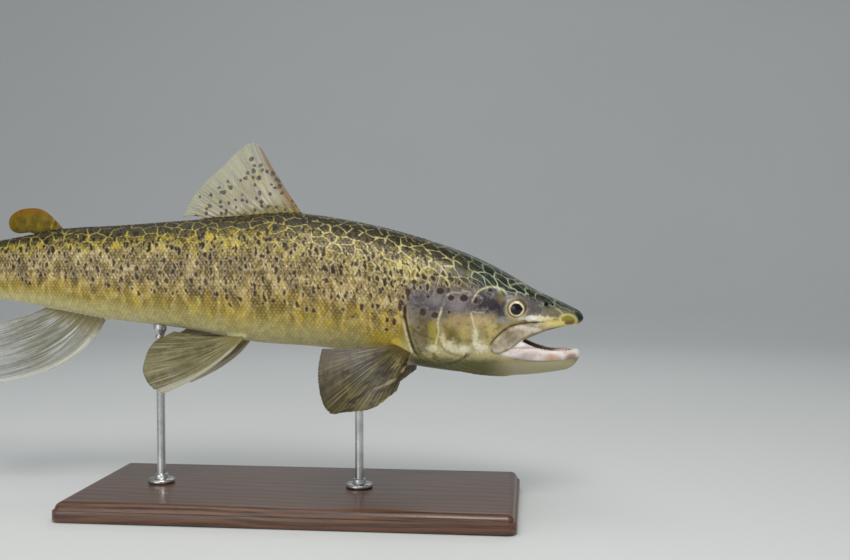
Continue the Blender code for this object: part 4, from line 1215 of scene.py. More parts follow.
class Net:
    """Short names for building a material's nodes."""

    def __init__(self, name):
        self.mat = bpy.data.materials.new(name)
        self.mat.use_nodes = True
        self.t = self.mat.node_tree
        self.out = self.t.nodes["Material Output"]
        self.bsdf = self.t.nodes["Principled BSDF"]

    def set(self, socket, value):
        if isinstance(value, bpy.types.NodeSocket):
            self.t.links.new(value, socket)
        elif isinstance(value, (tuple, list)) and socket.type == "RGBA" and len(value) == 3:
            socket.default_value = (*value, 1.0)
        else:
            socket.default_value = value

    def math(self, op, a, b=0.0, c=0.0, clamp=False):
        n = self.t.nodes.new("ShaderNodeMath")
        n.operation = op
        n.use_clamp = clamp
        for i, v in enumerate((a, b, c)):
            self.set(n.inputs[i], v)
        return n.outputs[0]

    def add(self, a, b):
        return self.math("ADD", a, b)

    def sub(self, a, b):
        return self.math("SUBTRACT", a, b)

    def mul(self, a, b):
        return self.math("MULTIPLY", a, b)

    def step(self, x, a, b, lo=0.0, hi=1.0):
        """Smooth step from lo at a to hi at b."""
        n = self.t.nodes.new("ShaderNodeMapRange")
        n.interpolation_type = "SMOOTHSTEP"
        if not isinstance(a, bpy.types.NodeSocket) and not isinstance(b, bpy.types.NodeSocket) and a > b:
            a, b, lo, hi = b, a, hi, lo
        for k, v in enumerate((x, a, b, lo, hi)):
            self.set(n.inputs[k], v)
        return n.outputs[0]

    def mix(self, fac, a, b, mode="MIX"):
        n = self.t.nodes.new("ShaderNodeMix")
        n.data_type = "RGBA"
        n.blend_type = mode
        self.set(n.inputs[0], fac)
        self.set(n.inputs[6], a)
        self.set(n.inputs[7], b)
        return n.outputs[2]

    def blend(self, fac, a, b):
        n = self.t.nodes.new("ShaderNodeMix")
        n.data_type = "FLOAT"
        self.set(n.inputs[0], fac)
        self.set(n.inputs[2], a)
        self.set(n.inputs[3], b)
        return n.outputs[0]

    def attr(self, name):
        n = self.t.nodes.new("ShaderNodeAttribute")
        n.attribute_name = name
        return n.outputs["Vector"]

    def split(self, v):
        n = self.t.nodes.new("ShaderNodeSeparateXYZ")
        self.set(n.inputs[0], v)
        return n.outputs

    def join(self, x, y, z=0.0):
        n = self.t.nodes.new("ShaderNodeCombineXYZ")
        for i, v in enumerate((x, y, z)):
            self.set(n.inputs[i], v)
        return n.outputs[0]

    def vmath(self, op, a, b=(0, 0, 0)):
        n = self.t.nodes.new("ShaderNodeVectorMath")
        n.operation = op
        self.set(n.inputs[0], a)
        self.set(n.inputs[1], b)
        return n.outputs[1] if op in ("DISTANCE", "LENGTH") else n.outputs[0]

    def noise(self, v, scale, detail=2.0, rough=0.5, distort=0.0, color=False):
        n = self.t.nodes.new("ShaderNodeTexNoise")
        self.set(n.inputs["Vector"], v)
        n.inputs["Scale"].default_value = scale
        n.inputs["Detail"].default_value = detail
        n.inputs["Roughness"].default_value = rough
        n.inputs["Distortion"].default_value = distort
        return n.outputs["Color" if color else "Fac"]

    def cells(self, v, scale, feature="F1", random=1.0, dims="2D"):
        n = self.t.nodes.new("ShaderNodeTexVoronoi")
        n.voronoi_dimensions = dims
        n.feature = feature
        self.set(n.inputs["Vector"], v)
        n.inputs["Scale"].default_value = scale
        n.inputs["Randomness"].default_value = random
        return n.outputs

    def ramp(self, fac, stops, mode="LINEAR"):
        n = self.t.nodes.new("ShaderNodeValToRGB")
        r = n.color_ramp
        r.interpolation = mode
        while len(r.elements) < len(stops):
            r.elements.new(0.5)
        for e, (p, c) in zip(r.elements, stops):
            e.position = p
            e.color = c
        self.set(n.inputs[0], fac)
        return n.outputs[0]

    def bump(self, height, distance, strength=1.0, normal=None):
        n = self.t.nodes.new("ShaderNodeBump")
        n.inputs["Strength"].default_value = strength
        n.inputs["Distance"].default_value = distance
        self.set(n.inputs["Height"], height)
        if normal is not None:
            self.set(n.inputs["Normal"], normal)
        return n.outputs[0]

    def finish(self, color, rough, normal=None, **plain):
        b = self.bsdf
        self.set(b.inputs["Base Color"], color)
        self.set(b.inputs["Roughness"], rough)
        if normal is not None:
            self.set(b.inputs["Normal"], normal)
        for k, v in plain.items():
            b.inputs[k.replace("_", " ")].default_value = v
        return self.mat


def near(net, s, z, cs, cz, rs, rz, angle=0.0):
    """Distance from (cs, cz) in the side view, in units of the given radii (centimetres)."""
    c, d = math.cos(math.radians(angle)), math.sin(math.radians(angle))
    ds, dz = net.sub(s, cs), net.sub(z, cz)
    a = net.math("DIVIDE", net.add(net.mul(ds, c), net.mul(dz, d)), rs)
    b = net.math("DIVIDE", net.sub(net.mul(dz, c), net.mul(ds, d)), rz)
    return net.math("SQRT", net.add(net.mul(a, a), net.mul(b, b)))


# single dark spots seen on the head and shoulder: s, height, half length, half height (cm)
HEAD_SPOTS = ((16.05, 20.72, 0.24, 0.36), (13.12, 20.83, 0.36, 0.30), (12.12, 20.20, 0.30, 0.26), (10.97, 20.18, 0.38, 0.32),
              (9.97, 20.01, 0.22, 0.30), (14.67, 18.91, 0.34, 0.36), (13.58, 18.64, 0.36, 0.30), (15.50, 21.64, 0.26, 0.24),
              (16.78, 19.35, 0.20, 0.42), (17.33, 17.98, 0.20, 0.34), (14.2, 20.3, 0.16, 0.15), (15.1, 17.5, 0.15, 0.17),
              (12.3, 18.9, 0.16, 0.14), (8.6, 20.9, 0.22, 0.2), (4.9, 20.4, 0.24, 0.2), (17.98, 18.15, 0.18, 0.26),
              (18.07, 17.24, 0.20, 0.17))


def trout_colour(n, scaled):
    """The fish's colours and markings, shared by skin and scales, with painted caustic light, painted glints on the
    shoulder and painted shade under the head.
    """
    s, y, z = n.split(n.attr("rest"))
    flat = n.attr("flat")
    fs, G, h = n.split(flat)
    lat, mouth, _ = n.split(n.attr("zone"))
    rest = n.attr("rest")
    plane = n.join(s, G)
    broad = n.noise(rest, 0.42, 3, 0.55)
    mid = n.noise(rest, 1.35, 3, 0.6)
    fine = n.noise(rest, 5.5, 3, 0.6)
    streak = n.noise(n.join(n.mul(s, 1.15), n.mul(z, 0.20), 0.0), 1.0, 2, 0.5, 0.4)
    hh = n.add(h, n.mul(n.sub(broad, 0.5), 0.13))
    hh = n.add(hh, n.mul(n.sub(mid, 0.5), 0.06))
    body = n.ramp(hh, [(0.0, srgb(202, 194, 150)), (0.10, srgb(190, 180, 122)), (0.24, srgb(146, 127, 48)),
                       (0.36, srgb(142, 116, 38)), (0.50, srgb(127, 102, 42)), (0.62, srgb(122, 100, 36)),
                       (0.74, srgb(102, 86, 34)), (0.84, srgb(70, 61, 28)), (0.93, srgb(46, 41, 25)),
                       (1.0, srgb(32, 30, 21))])
    # gold bands low on the flank, pale arches of painted caustic light over them, lavender bloom along the middle
    low = n.mul(n.step(h, 0.10, 0.22), n.step(h, 0.52, 0.36))
    body = n.mix(n.mul(low, n.mul(n.step(streak, 0.50, 0.66), 0.70)), body, srgb(198, 170, 66))
    body = n.mix(n.mul(low, n.mul(n.step(streak, 0.46, 0.30), 0.5)), body, srgb(104, 88, 38))
    # painted caustic light: pale arches of rippled sunlight on the lower flank
    caustic_arches = n.cells(n.join(n.mul(n.add(s, n.mul(n.sub(mid, 0.5), 1.4)), 0.62), n.mul(G, 0.26)), 1.0, "DISTANCE_TO_EDGE", 0.9)[0]
    caustic_arches = n.mul(n.step(caustic_arches, 0.13, 0.02), n.mul(n.step(h, 0.14, 0.26), n.step(h, 0.62, 0.46)))
    body = n.mix(n.mul(caustic_arches, 0.42), body, srgb(214, 192, 120))
    midz = n.mul(n.step(h, 0.32, 0.46), n.step(h, 0.82, 0.68))
    bloom = n.noise(n.join(n.mul(s, 2.3), n.mul(G, 1.0), 3.0), 1.0, 3, 0.6)
    fleck = n.noise(n.join(n.mul(s, 4.2), n.mul(G, 1.9), 8.0), 1.0, 3, 0.6)
    body = n.mix(n.mul(midz, n.mul(n.step(bloom, 0.50, 0.66), 0.66)), body, srgb(204, 187, 152))
    body = n.mix(n.mul(midz, n.mul(n.step(bloom, 0.48, 0.34), 0.72)), body, srgb(68, 51, 24))
    body = n.mix(n.mul(midz, n.mul(n.step(fleck, 0.54, 0.66), 0.62)), body, srgb(228, 213, 174))
    body = n.mix(n.mul(midz, n.mul(n.step(fleck, 0.44, 0.34), 0.45)), body, srgb(74, 56, 24))
    blotch = n.noise(n.join(n.add(n.mul(s, 0.95), n.mul(G, 0.18)), n.mul(G, 0.42), 5.0), 1.0, 2, 0.5, 0.3)
    wide_zone = n.mul(n.step(h, 0.20, 0.36), n.step(h, 0.90, 0.78))
    body = n.mix(n.mul(wide_zone, n.mul(n.step(blotch, 0.52, 0.39), 0.72)), body, srgb(54, 40, 17))
    body = n.mix(n.mul(wide_zone, n.mul(n.step(blotch, 0.55, 0.68), 0.42)), body, srgb(222, 203, 146))
    rear = n.step(s, 24.0, 34.0)
    body = n.mix(n.mul(n.mul(rear, n.mul(n.step(h, 0.68, 0.76), n.step(h, 0.92, 0.84))), n.mul(n.step(blotch, 0.52, 0.62), n.step(mid, 0.40, 0.58, 0.15, 0.70))), body,
                 srgb(190, 166, 34))
    upper = n.mul(n.step(h, 0.60, 0.74), n.step(h, 0.95, 0.84))
    body = n.mix(n.mul(upper, n.mul(n.step(mid, 0.50, 0.66), 0.58)), body, srgb(178, 154, 46))
    # painted glints: pale flecks on the shoulder where light sparkles off the scales
    shoulder = n.step(near(n, s, z, 16.6, 22.6, 3.4, 1.5, -14), 1.2, 0.3)
    body = n.mix(n.mul(shoulder, n.mul(n.step(fleck, 0.42, 0.60), 0.70)), body, srgb(222, 210, 140))
    # yellow patch behind the gill cover, round the root of the pectoral fin
    axil = n.step(near(n, s, z, 18.4, 16.1, 2.3, 1.15, 8), 1.15, 0.45)
    body = n.mix(n.mul(axil, n.step(mid, 0.30, 0.55, 0.45, 0.85)), body, srgb(172, 148, 26))

    # ---- head
    zb = n.add(18.25, n.sub(n.mul(s, 0.37), n.mul(n.mul(s, s), 0.0095)))
    above = n.add(n.sub(z, zb), n.mul(n.sub(mid, 0.5), 0.9))
    top = n.step(above, -0.25, 0.75)
    cloud = n.noise(rest, 0.95, 3, 0.55, 0.3)
    puff = n.noise(rest, 2.1, 3, 0.6, 0.6)
    drift = n.add(n.mul(n.sub(puff, 0.5), 2.5), n.mul(n.sub(fine, 0.5), 0.3))
    side = n.mix(n.step(n.add(n.add(z, n.mul(n.sub(mid, 0.5), 1.6)), n.add(n.mul(drift, 0.35), n.step(s, 11.5, 14.5, 0.0, 0.55))), 19.3, 17.8), srgb(98, 90, 92), srgb(156, 138, 92))
    side = n.mix(n.mul(n.step(puff, 0.48, 0.36), n.mul(n.step(z, 18.2, 19.2), 0.60)), side, srgb(58, 52, 56))
    side = n.mix(n.mul(n.step(puff, 0.54, 0.68), n.mul(n.step(z, 18.2, 19.2), 0.55)), side, srgb(158, 150, 152))
    side = n.mix(n.mul(n.step(z, 17.2, 15.4), n.step(s, 6.0, 8.0)), side, srgb(182, 170, 120))
    side = n.mix(n.mul(n.step(cloud, 0.50, 0.64), n.mul(n.step(z, 19.2, 18.0), 0.75)), side, srgb(104, 92, 36))
    # patches on the cheek: place, size, turn, share and colour
    for cs, cz, rs, rz, turn, share, rgb in (
            (14.9, 17.0, 1.35, 1.9, 0, 0.78, (82, 72, 38)), (12.0, 16.95, 0.85, 0.60, 10, 0.80, (98, 86, 30)),
            (10.4, 16.05, 0.62, 0.52, 0, 0.60, (128, 114, 44)), (13.72, 17.1, 0.50, 1.0, 0, 0.62, (172, 156, 34)),
            (15.3, 15.6, 1.3, 0.8, -20, 0.6, (104, 96, 56)),
            (12.15, 15.7, 0.80, 0.68, 20, 0.52, (228, 221, 194)), (10.9, 15.50, 0.62, 0.50, -20, 0.58, (232, 226, 206)),
            (9.6, 15.75, 0.72, 0.55, 25, 0.70, (238, 230, 210)), (13.8, 15.5, 0.62, 0.42, 15, 0.80, (226, 218, 178)),
            (9.9, 16.6, 0.30, 0.9, 6, 0.6, (236, 228, 200)), (12.9, 16.4, 0.3, 0.8, 0, 0.6, (226, 218, 170)),
            (9.5, 18.2, 1.0, 0.55, 0, 0.7, (188, 162, 122)), (11.5, 18.3, 0.8, 0.45, 0, 0.6, (172, 146, 104)),
            (8.5, 17.4, 0.7, 0.7, 0, 0.55, (198, 180, 116)), (10.9, 17.1, 0.6, 0.7, 0, 0.45, (196, 180, 104)),
            (14.3, 19.9, 1.1, 0.9, 0, 0.40, (70, 64, 64)), (11.6, 19.6, 0.8, 0.7, 0, 0.55, (146, 136, 136)), (13.4, 20.0, 0.9, 0.5, 0, 0.5, (150, 142, 140)),
            (12.0, 21.3, 1.6, 0.45, -6, 0.6, (52, 50, 44)), (13.4, 21.9, 0.9, 0.5, -10, 0.6, (150, 148, 118)),
            (8.8, 19.75, 1.30, 0.80, 0, 0.88, (44, 37, 43)), (7.55, 19.2, 0.62, 1.05, 0, 0.88, (38, 33, 37)),
            (7.6, 20.3, 0.34, 0.62, 8, 0.75, (122, 106, 44)), (7.5, 18.15, 1.1, 0.34, -6, 0.7, (146, 140, 138)),
            (4.6, 18.32, 1.7, 0.34, 5, 0.9, (236, 230, 220)), (3.0, 19.2, 1.4, 0.55, 18, 0.7, (98, 102, 58)),
            (2.4, 17.9, 1.9, 0.36, 9, 0.75, (204, 188, 88)), (4.35, 20.0, 1.0, 0.45, 22, 0.6, (70, 66, 62)),
            (3.36, 19.5, 0.50, 0.30, 0, 0.85, (40, 46, 52))):
        side = n.mix(n.mul(n.step(n.add(near(n, s, z, cs, cz, rs, rz, turn), drift), 1.35, 0.30), share),
                     side, srgb(*rgb))
    # painted shade: the underside of the head and the throat darkened to olive grey
    under = n.step(n.add(z, n.mul(n.sub(mid, 0.5), 0.7)), 15.0, 14.1)
    side = n.mix(n.mul(under, n.step(s, 6.5, 8.5)), side, srgb(98, 97, 60))
    under = n.step(n.add(z, n.mul(n.sub(mid, 0.5), 0.5)), 14.7, 13.7)
    side = n.mix(under, side, srgb(104, 102, 68))
    crown = n.mix(n.step(fine, 0.40, 0.62), srgb(14, 25, 21), srgb(32, 42, 33))
    crown = n.mix(n.step(s, 8.0, 15.0), crown, srgb(40, 36, 22))
    crown = n.mix(n.mul(n.step(puff, 0.52, 0.68), 0.6), crown, srgb(104, 104, 66))
    head = n.mix(top, side, crown)
    head = n.mix(n.mul(n.step(s, 1.35, 0.45), n.step(z, 17.7, 18.2)), head, srgb(26, 34, 32))
    ochre = near(n, s, z, 1.50, 18.12, 0.64, 0.42, 12)
    head = n.mix(n.mul(n.step(ochre, 1.60, 1.2), 0.75), head, srgb(198, 192, 120))
    head = n.mix(n.step(ochre, 1.15, 0.80), head, n.mix(n.step(z, 18.3, 17.9), srgb(136, 126, 52), srgb(118, 84, 44)))

    border = n.add(n.mul(n.sub(mid, 0.5), 1.3), n.mul(n.sub(fine, 0.5), 0.9))
    headness = n.mul(n.step(n.add(s, border), 16.9, 15.5), n.step(n.add(z, border), 22.3, 20.4))
    headness = n.math("MAXIMUM", headness, n.step(n.add(s, border), 13.0, 9.0))
    col = n.mix(headness, body, head)

    # ---- painted caustic light: a pale net of rippled sunlight over the dark of the back and crown
    warp = n.mul(n.sub(n.noise(rest, 0.8, 1), 0.5), 0.9)
    caustic_uv = n.join(n.mul(n.add(s, warp), 0.80), n.add(n.mul(n.add(G, warp), 1.20), n.mul(s, 0.16)))
    edge = n.cells(caustic_uv, 0.95, "DISTANCE_TO_EDGE", 0.85)[0]
    corner = n.cells(caustic_uv, 0.95, "F1", 0.85)[0]
    wide = n.add(n.add(0.016, n.mul(n.sub(broad, 0.3), 0.06)), n.step(corner, 0.45, 0.85, 0.0, 0.035))
    lines = n.sub(1.0, n.step(edge, n.mul(wide, 0.7), n.add(wide, 0.050)))
    caustic_on_body = n.step(n.add(h, n.step(s, 32.0, 18.0, 0.0, 0.12)), 0.62, 0.86)
    caustic_zone = n.math("MAXIMUM", n.mul(caustic_on_body, n.sub(1.0, headness)), n.mul(headness, top))
    caustic_fac = n.mul(n.mul(lines, caustic_zone), n.mul(n.step(mid, 0.30, 0.50, 0.58, 1.0), n.step(h, 0.90, 0.985, 0.78, 0.36)))
    caustic_rgb = n.mix(n.step(s, 9.0, 14.0), srgb(178, 186, 152), srgb(206, 196, 132))
    caustic_rgb = n.mix(n.step(s, 22.0, 31.0), caustic_rgb, srgb(180, 164, 66))
    col = n.mix(caustic_fac, col, caustic_rgb)

    # ---- dark spots
    wob = n.vmath("SUBTRACT", n.noise(rest, 1.5, 2, color=True), (0.5, 0.5, 0.5))
    wob = n.vmath("MULTIPLY", wob, (0.55, 0.55, 0.0))
    spot_uv = n.vmath("ADD", n.join(n.add(s, n.mul(G, 0.12)), n.mul(G, 0.62)), wob)
    total_dark, total_halo = None, None
    for scale, r0, r1, keep, low_h, shift in ((1.30, 0.125, 0.115, 0.92, 0.315, 0.0), (1.80, 0.11, 0.12, 0.46, 0.40, 7.3)):
        uv = spot_uv if shift == 0.0 else n.vmath("ADD", spot_uv, (shift, shift * 0.6, 0.0))
        cell = n.cells(uv, scale, "F1", 0.92)
        rr, rg, rb = n.split(cell[1])
        radius = n.add(r0, n.mul(rr, r1))
        radius = n.mul(radius, n.step(h, 0.62, 0.84, 1.0, 1.15))
        dens = n.mul(n.step(n.add(h, n.mul(n.sub(rb, 0.5), 0.16)), low_h - 0.05, low_h + 0.09), keep)
        dens = n.mul(dens, n.sub(1.0, headness))
        there = n.math("LESS_THAN", rg, dens)
        dd = n.add(cell[0], n.mul(n.sub(fine, 0.5), 0.16))
        inside = n.sub(1.0, n.step(dd, n.sub(radius, 0.10), n.add(radius, 0.12)))
        halo = n.sub(1.0, n.step(dd, n.add(radius, 0.06), n.add(radius, 0.30)))
        dark = n.mul(inside, there)
        halo = n.mul(halo, there)
        total_dark = dark if total_dark is None else n.math("MAXIMUM", total_dark, dark)
        total_halo = halo if total_halo is None else n.math("MAXIMUM", total_halo, halo)
    head_dark = None
    for cs, cz, rs, rz in HEAD_SPOTS:
        dd = n.add(near(n, s, z, cs, cz, rs, rz), n.mul(n.sub(fine, 0.5), 0.5))
        f = n.sub(1.0, n.step(dd, 0.72, 1.15))
        g = n.sub(1.0, n.step(dd, 1.1, 2.0))
        head_dark = f if head_dark is None else n.math("MAXIMUM", head_dark, f)
        total_halo = n.math("MAXIMUM", total_halo, n.mul(g, 0.22))
    total_dark = n.math("MAXIMUM", total_dark, head_dark)
    halo_fac = n.mul(n.mul(total_halo, n.sub(1.0, total_dark)), n.step(h, 0.92, 0.70, 0.0, 0.34))
    col = n.mix(halo_fac, col, srgb(214, 196, 160))
    dark_rgb = n.mix(n.step(h, 0.45, 0.8), srgb(58, 36, 30), srgb(28, 23, 18))
    col = n.mix(n.mul(total_dark, n.step(mid, 0.25, 0.5, 0.70, 0.92)), col, dark_rgb)
    col = n.mix(1.0, col, n.ramp(fine, [(0.25, (0.80, 0.80, 0.80, 1)), (0.5, (1, 1, 1, 1)), (0.8, (1.12, 1.12, 1.12, 1))]), "MULTIPLY")
    return col, dict(s=s, y=y, z=z, h=h, lat=lat, mouth=mouth, rest=rest, mid=mid, fine=fine, broad=broad,
                     dark=total_dark, head=headness, top=top)


def skin_material():
    n = Net("trout_skin")
    col, f = trout_colour(n, False)
    s, z, rest = f["s"], f["z"], f["rest"]
    plate, lip, shade_relief = n.split(n.attr("bone_lip_shade_relief"))
    # upper jaw bone, pale with an olive middle
    bone = n.mix(n.step(f["mid"], 0.42, 0.66), srgb(178, 165, 149), srgb(128, 113, 86))
    soft = n.mul(n.sub(f["mid"], 0.5), 1.6)
    bone = n.mix(n.mul(n.step(n.add(near(n, s, z, 6.7, 16.6, 2.1, 0.62, 40), soft), 1.4, 0.1), 0.62), bone, srgb(104, 92, 66))
    bone = n.mix(n.mul(n.step(n.add(near(n, s, z, 5.0, 17.35, 1.6, 0.26, 12), soft), 1.3, 0.3), 0.6), bone, srgb(226, 218, 206))
    bone = n.mix(n.step(s, 4.4, 2.6), bone, srgb(206, 190, 128))
    col = n.mix(n.mul(plate, 0.86), col, bone)
    # lower jaw: pinkish white lip, orange-ochre touches near the chin
    jaw_rgb = n.mix(n.step(f["mid"], 0.40, 0.72), srgb(246, 238, 234), srgb(206, 184, 178))
    jaw_rgb = n.mix(n.mul(n.step(n.add(near(n, s, z, 3.05, 14.66, 0.75, 0.36), soft), 1.5, 0.2), 0.66), jaw_rgb, srgb(200, 146, 84))
    jaw_rgb = n.mix(n.mul(n.step(n.add(near(n, s, z, 1.20, 14.66, 0.52, 0.46), soft), 1.4, 0.4), 0.78), jaw_rgb, srgb(140, 106, 86))
    # painted shade: a lilac shadow along the lower lip's fold
    jaw_rgb = n.mix(n.mul(n.step(n.add(near(n, s, z, 5.2, 14.9, 1.3, 0.4, -6), soft), 1.4, 0.3), 0.45), jaw_rgb, srgb(168, 140, 140))
    # painted highlight on the tip of the chin
    jaw_rgb = n.mix(n.mul(n.step(s, 0.85, 0.55), 0.8), jaw_rgb, srgb(238, 228, 216))
    # painted shade in a crease across the lower jaw, with a painted highlight on the lip above it
    shaded_crease = n.sub(z, n.add(15.62, n.mul(n.mul(n.sub(s, 5.6), n.sub(s, 5.6)), -0.030)))
    jaw_rgb = n.mix(n.mul(n.mul(n.step(n.math("ABSOLUTE", shaded_crease), 0.16, 0.02), n.step(s, 2.2, 3.4)), 0.55), jaw_rgb, srgb(136, 116, 116))
    jaw_rgb = n.mix(n.mul(n.step(shaded_crease, 0.05, 0.4), 0.6), jaw_rgb, srgb(252, 247, 244))
    col = n.mix(n.mul(lip, 0.92), col, jaw_rgb)
    col = n.mix(n.mul(n.step(s, 9.5, 6.0), n.mul(n.step(z, 14.6, 14.0), n.sub(1.0, lip))), col, srgb(168, 160, 126))
    # inside of the mouth: flesh colour, darker deeper in as painted shade
    inner = n.mix(n.step(s, 2.0, 5.5), srgb(190, 168, 154), srgb(138, 116, 104))
    col = n.mix(f["mouth"], col, inner)
    # painted shade: folds hold a darker line; painted highlight: raised rims are paler
    col = n.mix(n.sub(1.0, n.step(shade_relief, -0.85, -0.22, 0.22, 1.0)), col, srgb(40, 34, 27))
    col = n.mix(n.mul(n.step(shade_relief, 0.55, 0.98), 0.12), col, srgb(232, 222, 196))
    # painted highlight along the rims of the head
    painted_highlight = n.split(n.attr("rim_highlights"))[0]
    col = n.mix(n.mul(painted_highlight, n.step(f["fine"], 0.34, 0.56, 0.35, 0.80)), col, srgb(232, 226, 180))
    ring = near(n, s, z, EYE_S / 10, EYE_Z / 10, 1.0, 1.0)
    col = n.mix(n.mul(n.step(ring, 1.06, 0.92), 0.60), col, srgb(168, 152, 104))
    # painted shade: a dark ring round the rim of the eye opening
    col = n.mix(n.mul(n.step(ring, 0.81, 0.76), 0.75), col, srgb(62, 54, 40))
    grain = n.noise(rest, 26.0, 3, 0.6)
    pores = n.cells(rest, 9.0, "F1", 1.0, "3D")[0]
    wrinkle = n.noise(n.join(n.mul(s, 3.0), n.mul(f["y"], 9.0), n.mul(z, 9.0)), 1.0, 4, 0.6, 0.6)
    height = n.add(n.mul(grain, 0.35), n.add(n.mul(n.step(pores, 0.05, 0.16), 0.35), n.mul(wrinkle, 0.6)))
    nor = n.bump(height, 0.00032, 0.55)
    rough = n.add(n.step(f["mid"], 0.3, 0.7, 0.36, 0.50), n.mul(grain, 0.06))
    rough = n.blend(f["mouth"], rough, 0.28)
    return n.finish(col, rough, nor, Coat_Weight=0.16, Coat_Roughness=0.14, Specular_IOR_Level=0.22,
                    Subsurface_Weight=0.06, Subsurface_Radius=(0.006, 0.003, 0.0018), Subsurface_Scale=1.0)


def scale_material():
    n = Net("trout_scales")
    col, f = trout_colour(n, True)
    edge, along_x, rnd = n.split(n.attr("scale"))
    tint = n.ramp(rnd, [(0.0, (0.84, 0.84, 0.84, 1)), (0.5, (1, 1, 1, 1)), (1.0, (1.16, 1.15, 1.12, 1))])
    col = n.mix(1.0, col, tint, "MULTIPLY")
    # each scale is paler in its middle, a painted highlight, and has a fine dusky margin of painted shade
    rim = n.mul(n.step(edge, 0.72, 0.98), n.step(along_x, 0.45, 0.75))
    col = n.mix(n.mul(rim, n.step(f["h"], 0.10, 0.40, 0.22, 0.42)), col, srgb(64, 52, 30))
    painted_highlight = n.mul(n.step(edge, 0.75, 0.25), n.mul(n.step(f["h"], 0.95, 0.75, 0.25, 1.0), 0.14))
    col = n.mix(n.mul(painted_highlight, n.sub(1.0, f["dark"])), col, srgb(236, 218, 160))
    # lateral line: a slightly darker thread of pored scales
    line = n.step(n.math("ABSOLUTE", f["lat"]), 0.13, 0.05)
    col = n.mix(n.mul(line, 0.35), col, srgb(70, 58, 40))
    rings = n.math("SINE", n.mul(edge, 34.0))
    grain = n.noise(f["rest"], 18.0, 3, 0.6)
    height = n.add(n.mul(rings, 0.10), n.mul(grain, 0.5))
    nor = n.bump(height, 0.00022, 0.6)
    rough = n.add(n.step(rnd, 0.0, 1.0, 0.34, 0.50), n.mul(grain, 0.06))
    return n.finish(col, rough, nor, Coat_Weight=0.11, Coat_Roughness=0.16, Metallic=0.10, Specular_IOR_Level=0.20)


def fin_material(name, pale, ray_rgb, web_rgb, tip_rgb, lead_rgb=None, spots=None, veil=0.0, mottle=0.0, root_rgb=None,
                 patch_rgb=None):
    """Soft-rayed fin: jointed rays over a thinner web."""
    n = Net(name)
    f, v, ridge = n.split(n.attr("fin"))
    rest = n.attr("rest")
    s, y, z = n.split(rest)
    mid = n.noise(rest, 1.6, 3, 0.6)
    fine = n.noise(rest, 7.0, 3, 0.6)
    streak = n.noise(n.join(n.mul(f, 2.2), n.mul(v, 1.6), 0.0), 1.0, 4, 0.6, 0.5)
    web = n.mix(n.step(streak, 0.42, 0.66), web_rgb, pale)
    col = n.mix(n.mul(n.step(ridge, 0.25, 0.8), 0.8), web, ray_rgb)
    if mottle:
        bands = n.noise(n.join(n.mul(f, 0.35), n.mul(v, 6.0), 2.0), 1.0, 3, 0.6, 0.6)
        col = n.mix(n.mul(n.step(bands, 0.48, 0.64), mottle), col, tip_rgb)
        col = n.mix(n.mul(n.step(bands, 0.44, 0.30), mottle * 0.5), col, pale)
    else:
        col = n.mix(n.mul(n.step(n.add(v, n.mul(n.sub(mid, 0.5), 0.5)), 0.55, 1.0), 0.5), col, tip_rgb)
    if lead_rgb is not None:
        col = n.mix(n.mul(n.step(f, 1.7, 0.4), 0.75), col, lead_rgb)
    if patch_rgb is not None:
        patch = n.noise(n.join(n.mul(f, 0.40), n.mul(v, 6.5), 6.0), 1.0, 1, 0.5, 0.2)
        front = n.mul(n.step(f, 6.0, 1.5), n.step(v, 0.02, 0.12))
        col = n.mix(n.mul(front, n.mul(n.step(patch, 0.52, 0.66), 0.55)), col, patch_rgb[0])
        col = n.mix(n.mul(n.step(n.add(f, n.mul(n.sub(mid, 0.5), 6.0)), 8.5, 12.5), 0.38), col, patch_rgb[1])
    if root_rgb is not None:
        col = n.mix(n.mul(n.step(n.add(v, n.mul(n.sub(mid, 0.5), 0.2)), 0.30, 0.06), 0.9), col, root_rgb)
    if spots:
        scale, r0, r1, keep, rgb, reach = spots
        wob = n.vmath("MULTIPLY", n.vmath("SUBTRACT", n.noise(rest, 2.0, 2, color=True), (0.5, 0.5, 0.5)), (0.4, 0.4, 0.4))
        cell = n.cells(n.vmath("ADD", n.join(s, n.mul(z, 1.0)), wob), scale, "F1", 0.85)
        rr, rg, rb = n.split(cell[1])
        rad = n.add(r0, n.mul(rr, r1))
        inside = n.sub(1.0, n.step(cell[0], n.sub(rad, 0.06), n.add(rad, 0.06)))
        there = n.math("LESS_THAN", rg, n.mul(n.step(v, reach, reach - 0.25), keep))
        col = n.mix(n.mul(n.mul(inside, there), 0.88), col, rgb)
    col = n.mix(1.0, col, n.ramp(fine, [(0.25, (0.82, 0.82, 0.82, 1)), (0.5, (1, 1, 1, 1)), (0.8, (1.12, 1.12, 1.12, 1))]), "MULTIPLY")
    joints = n.math("SINE", n.mul(v, 150.0))
    height = n.add(n.mul(n.mul(joints, ridge), 0.22), n.mul(fine, 0.5))
    nor = n.bump(height, 0.00030, 0.6)
    rough = n.add(n.step(ridge, 0.2, 0.9, 0.36, 0.46), n.mul(n.sub(mid, 0.5), 0.1))
    mat = n.finish(col, rough, nor, Coat_Weight=0.12, Coat_Roughness=0.2, Specular_IOR_Level=0.28, Subsurface_Weight=0.20,
                   Subsurface_Radius=(0.004, 0.003, 0.002), Subsurface_Scale=1.0)
    if veil:
        # the web lets a little light and background through, the rays do not
        thin = n.mul(n.step(ridge, 0.75, 0.2), n.step(v, 0.12, 0.5))
        n.set(n.bsdf.inputs["Alpha"], n.sub(1.0, n.mul(thin, veil)))
    return mat


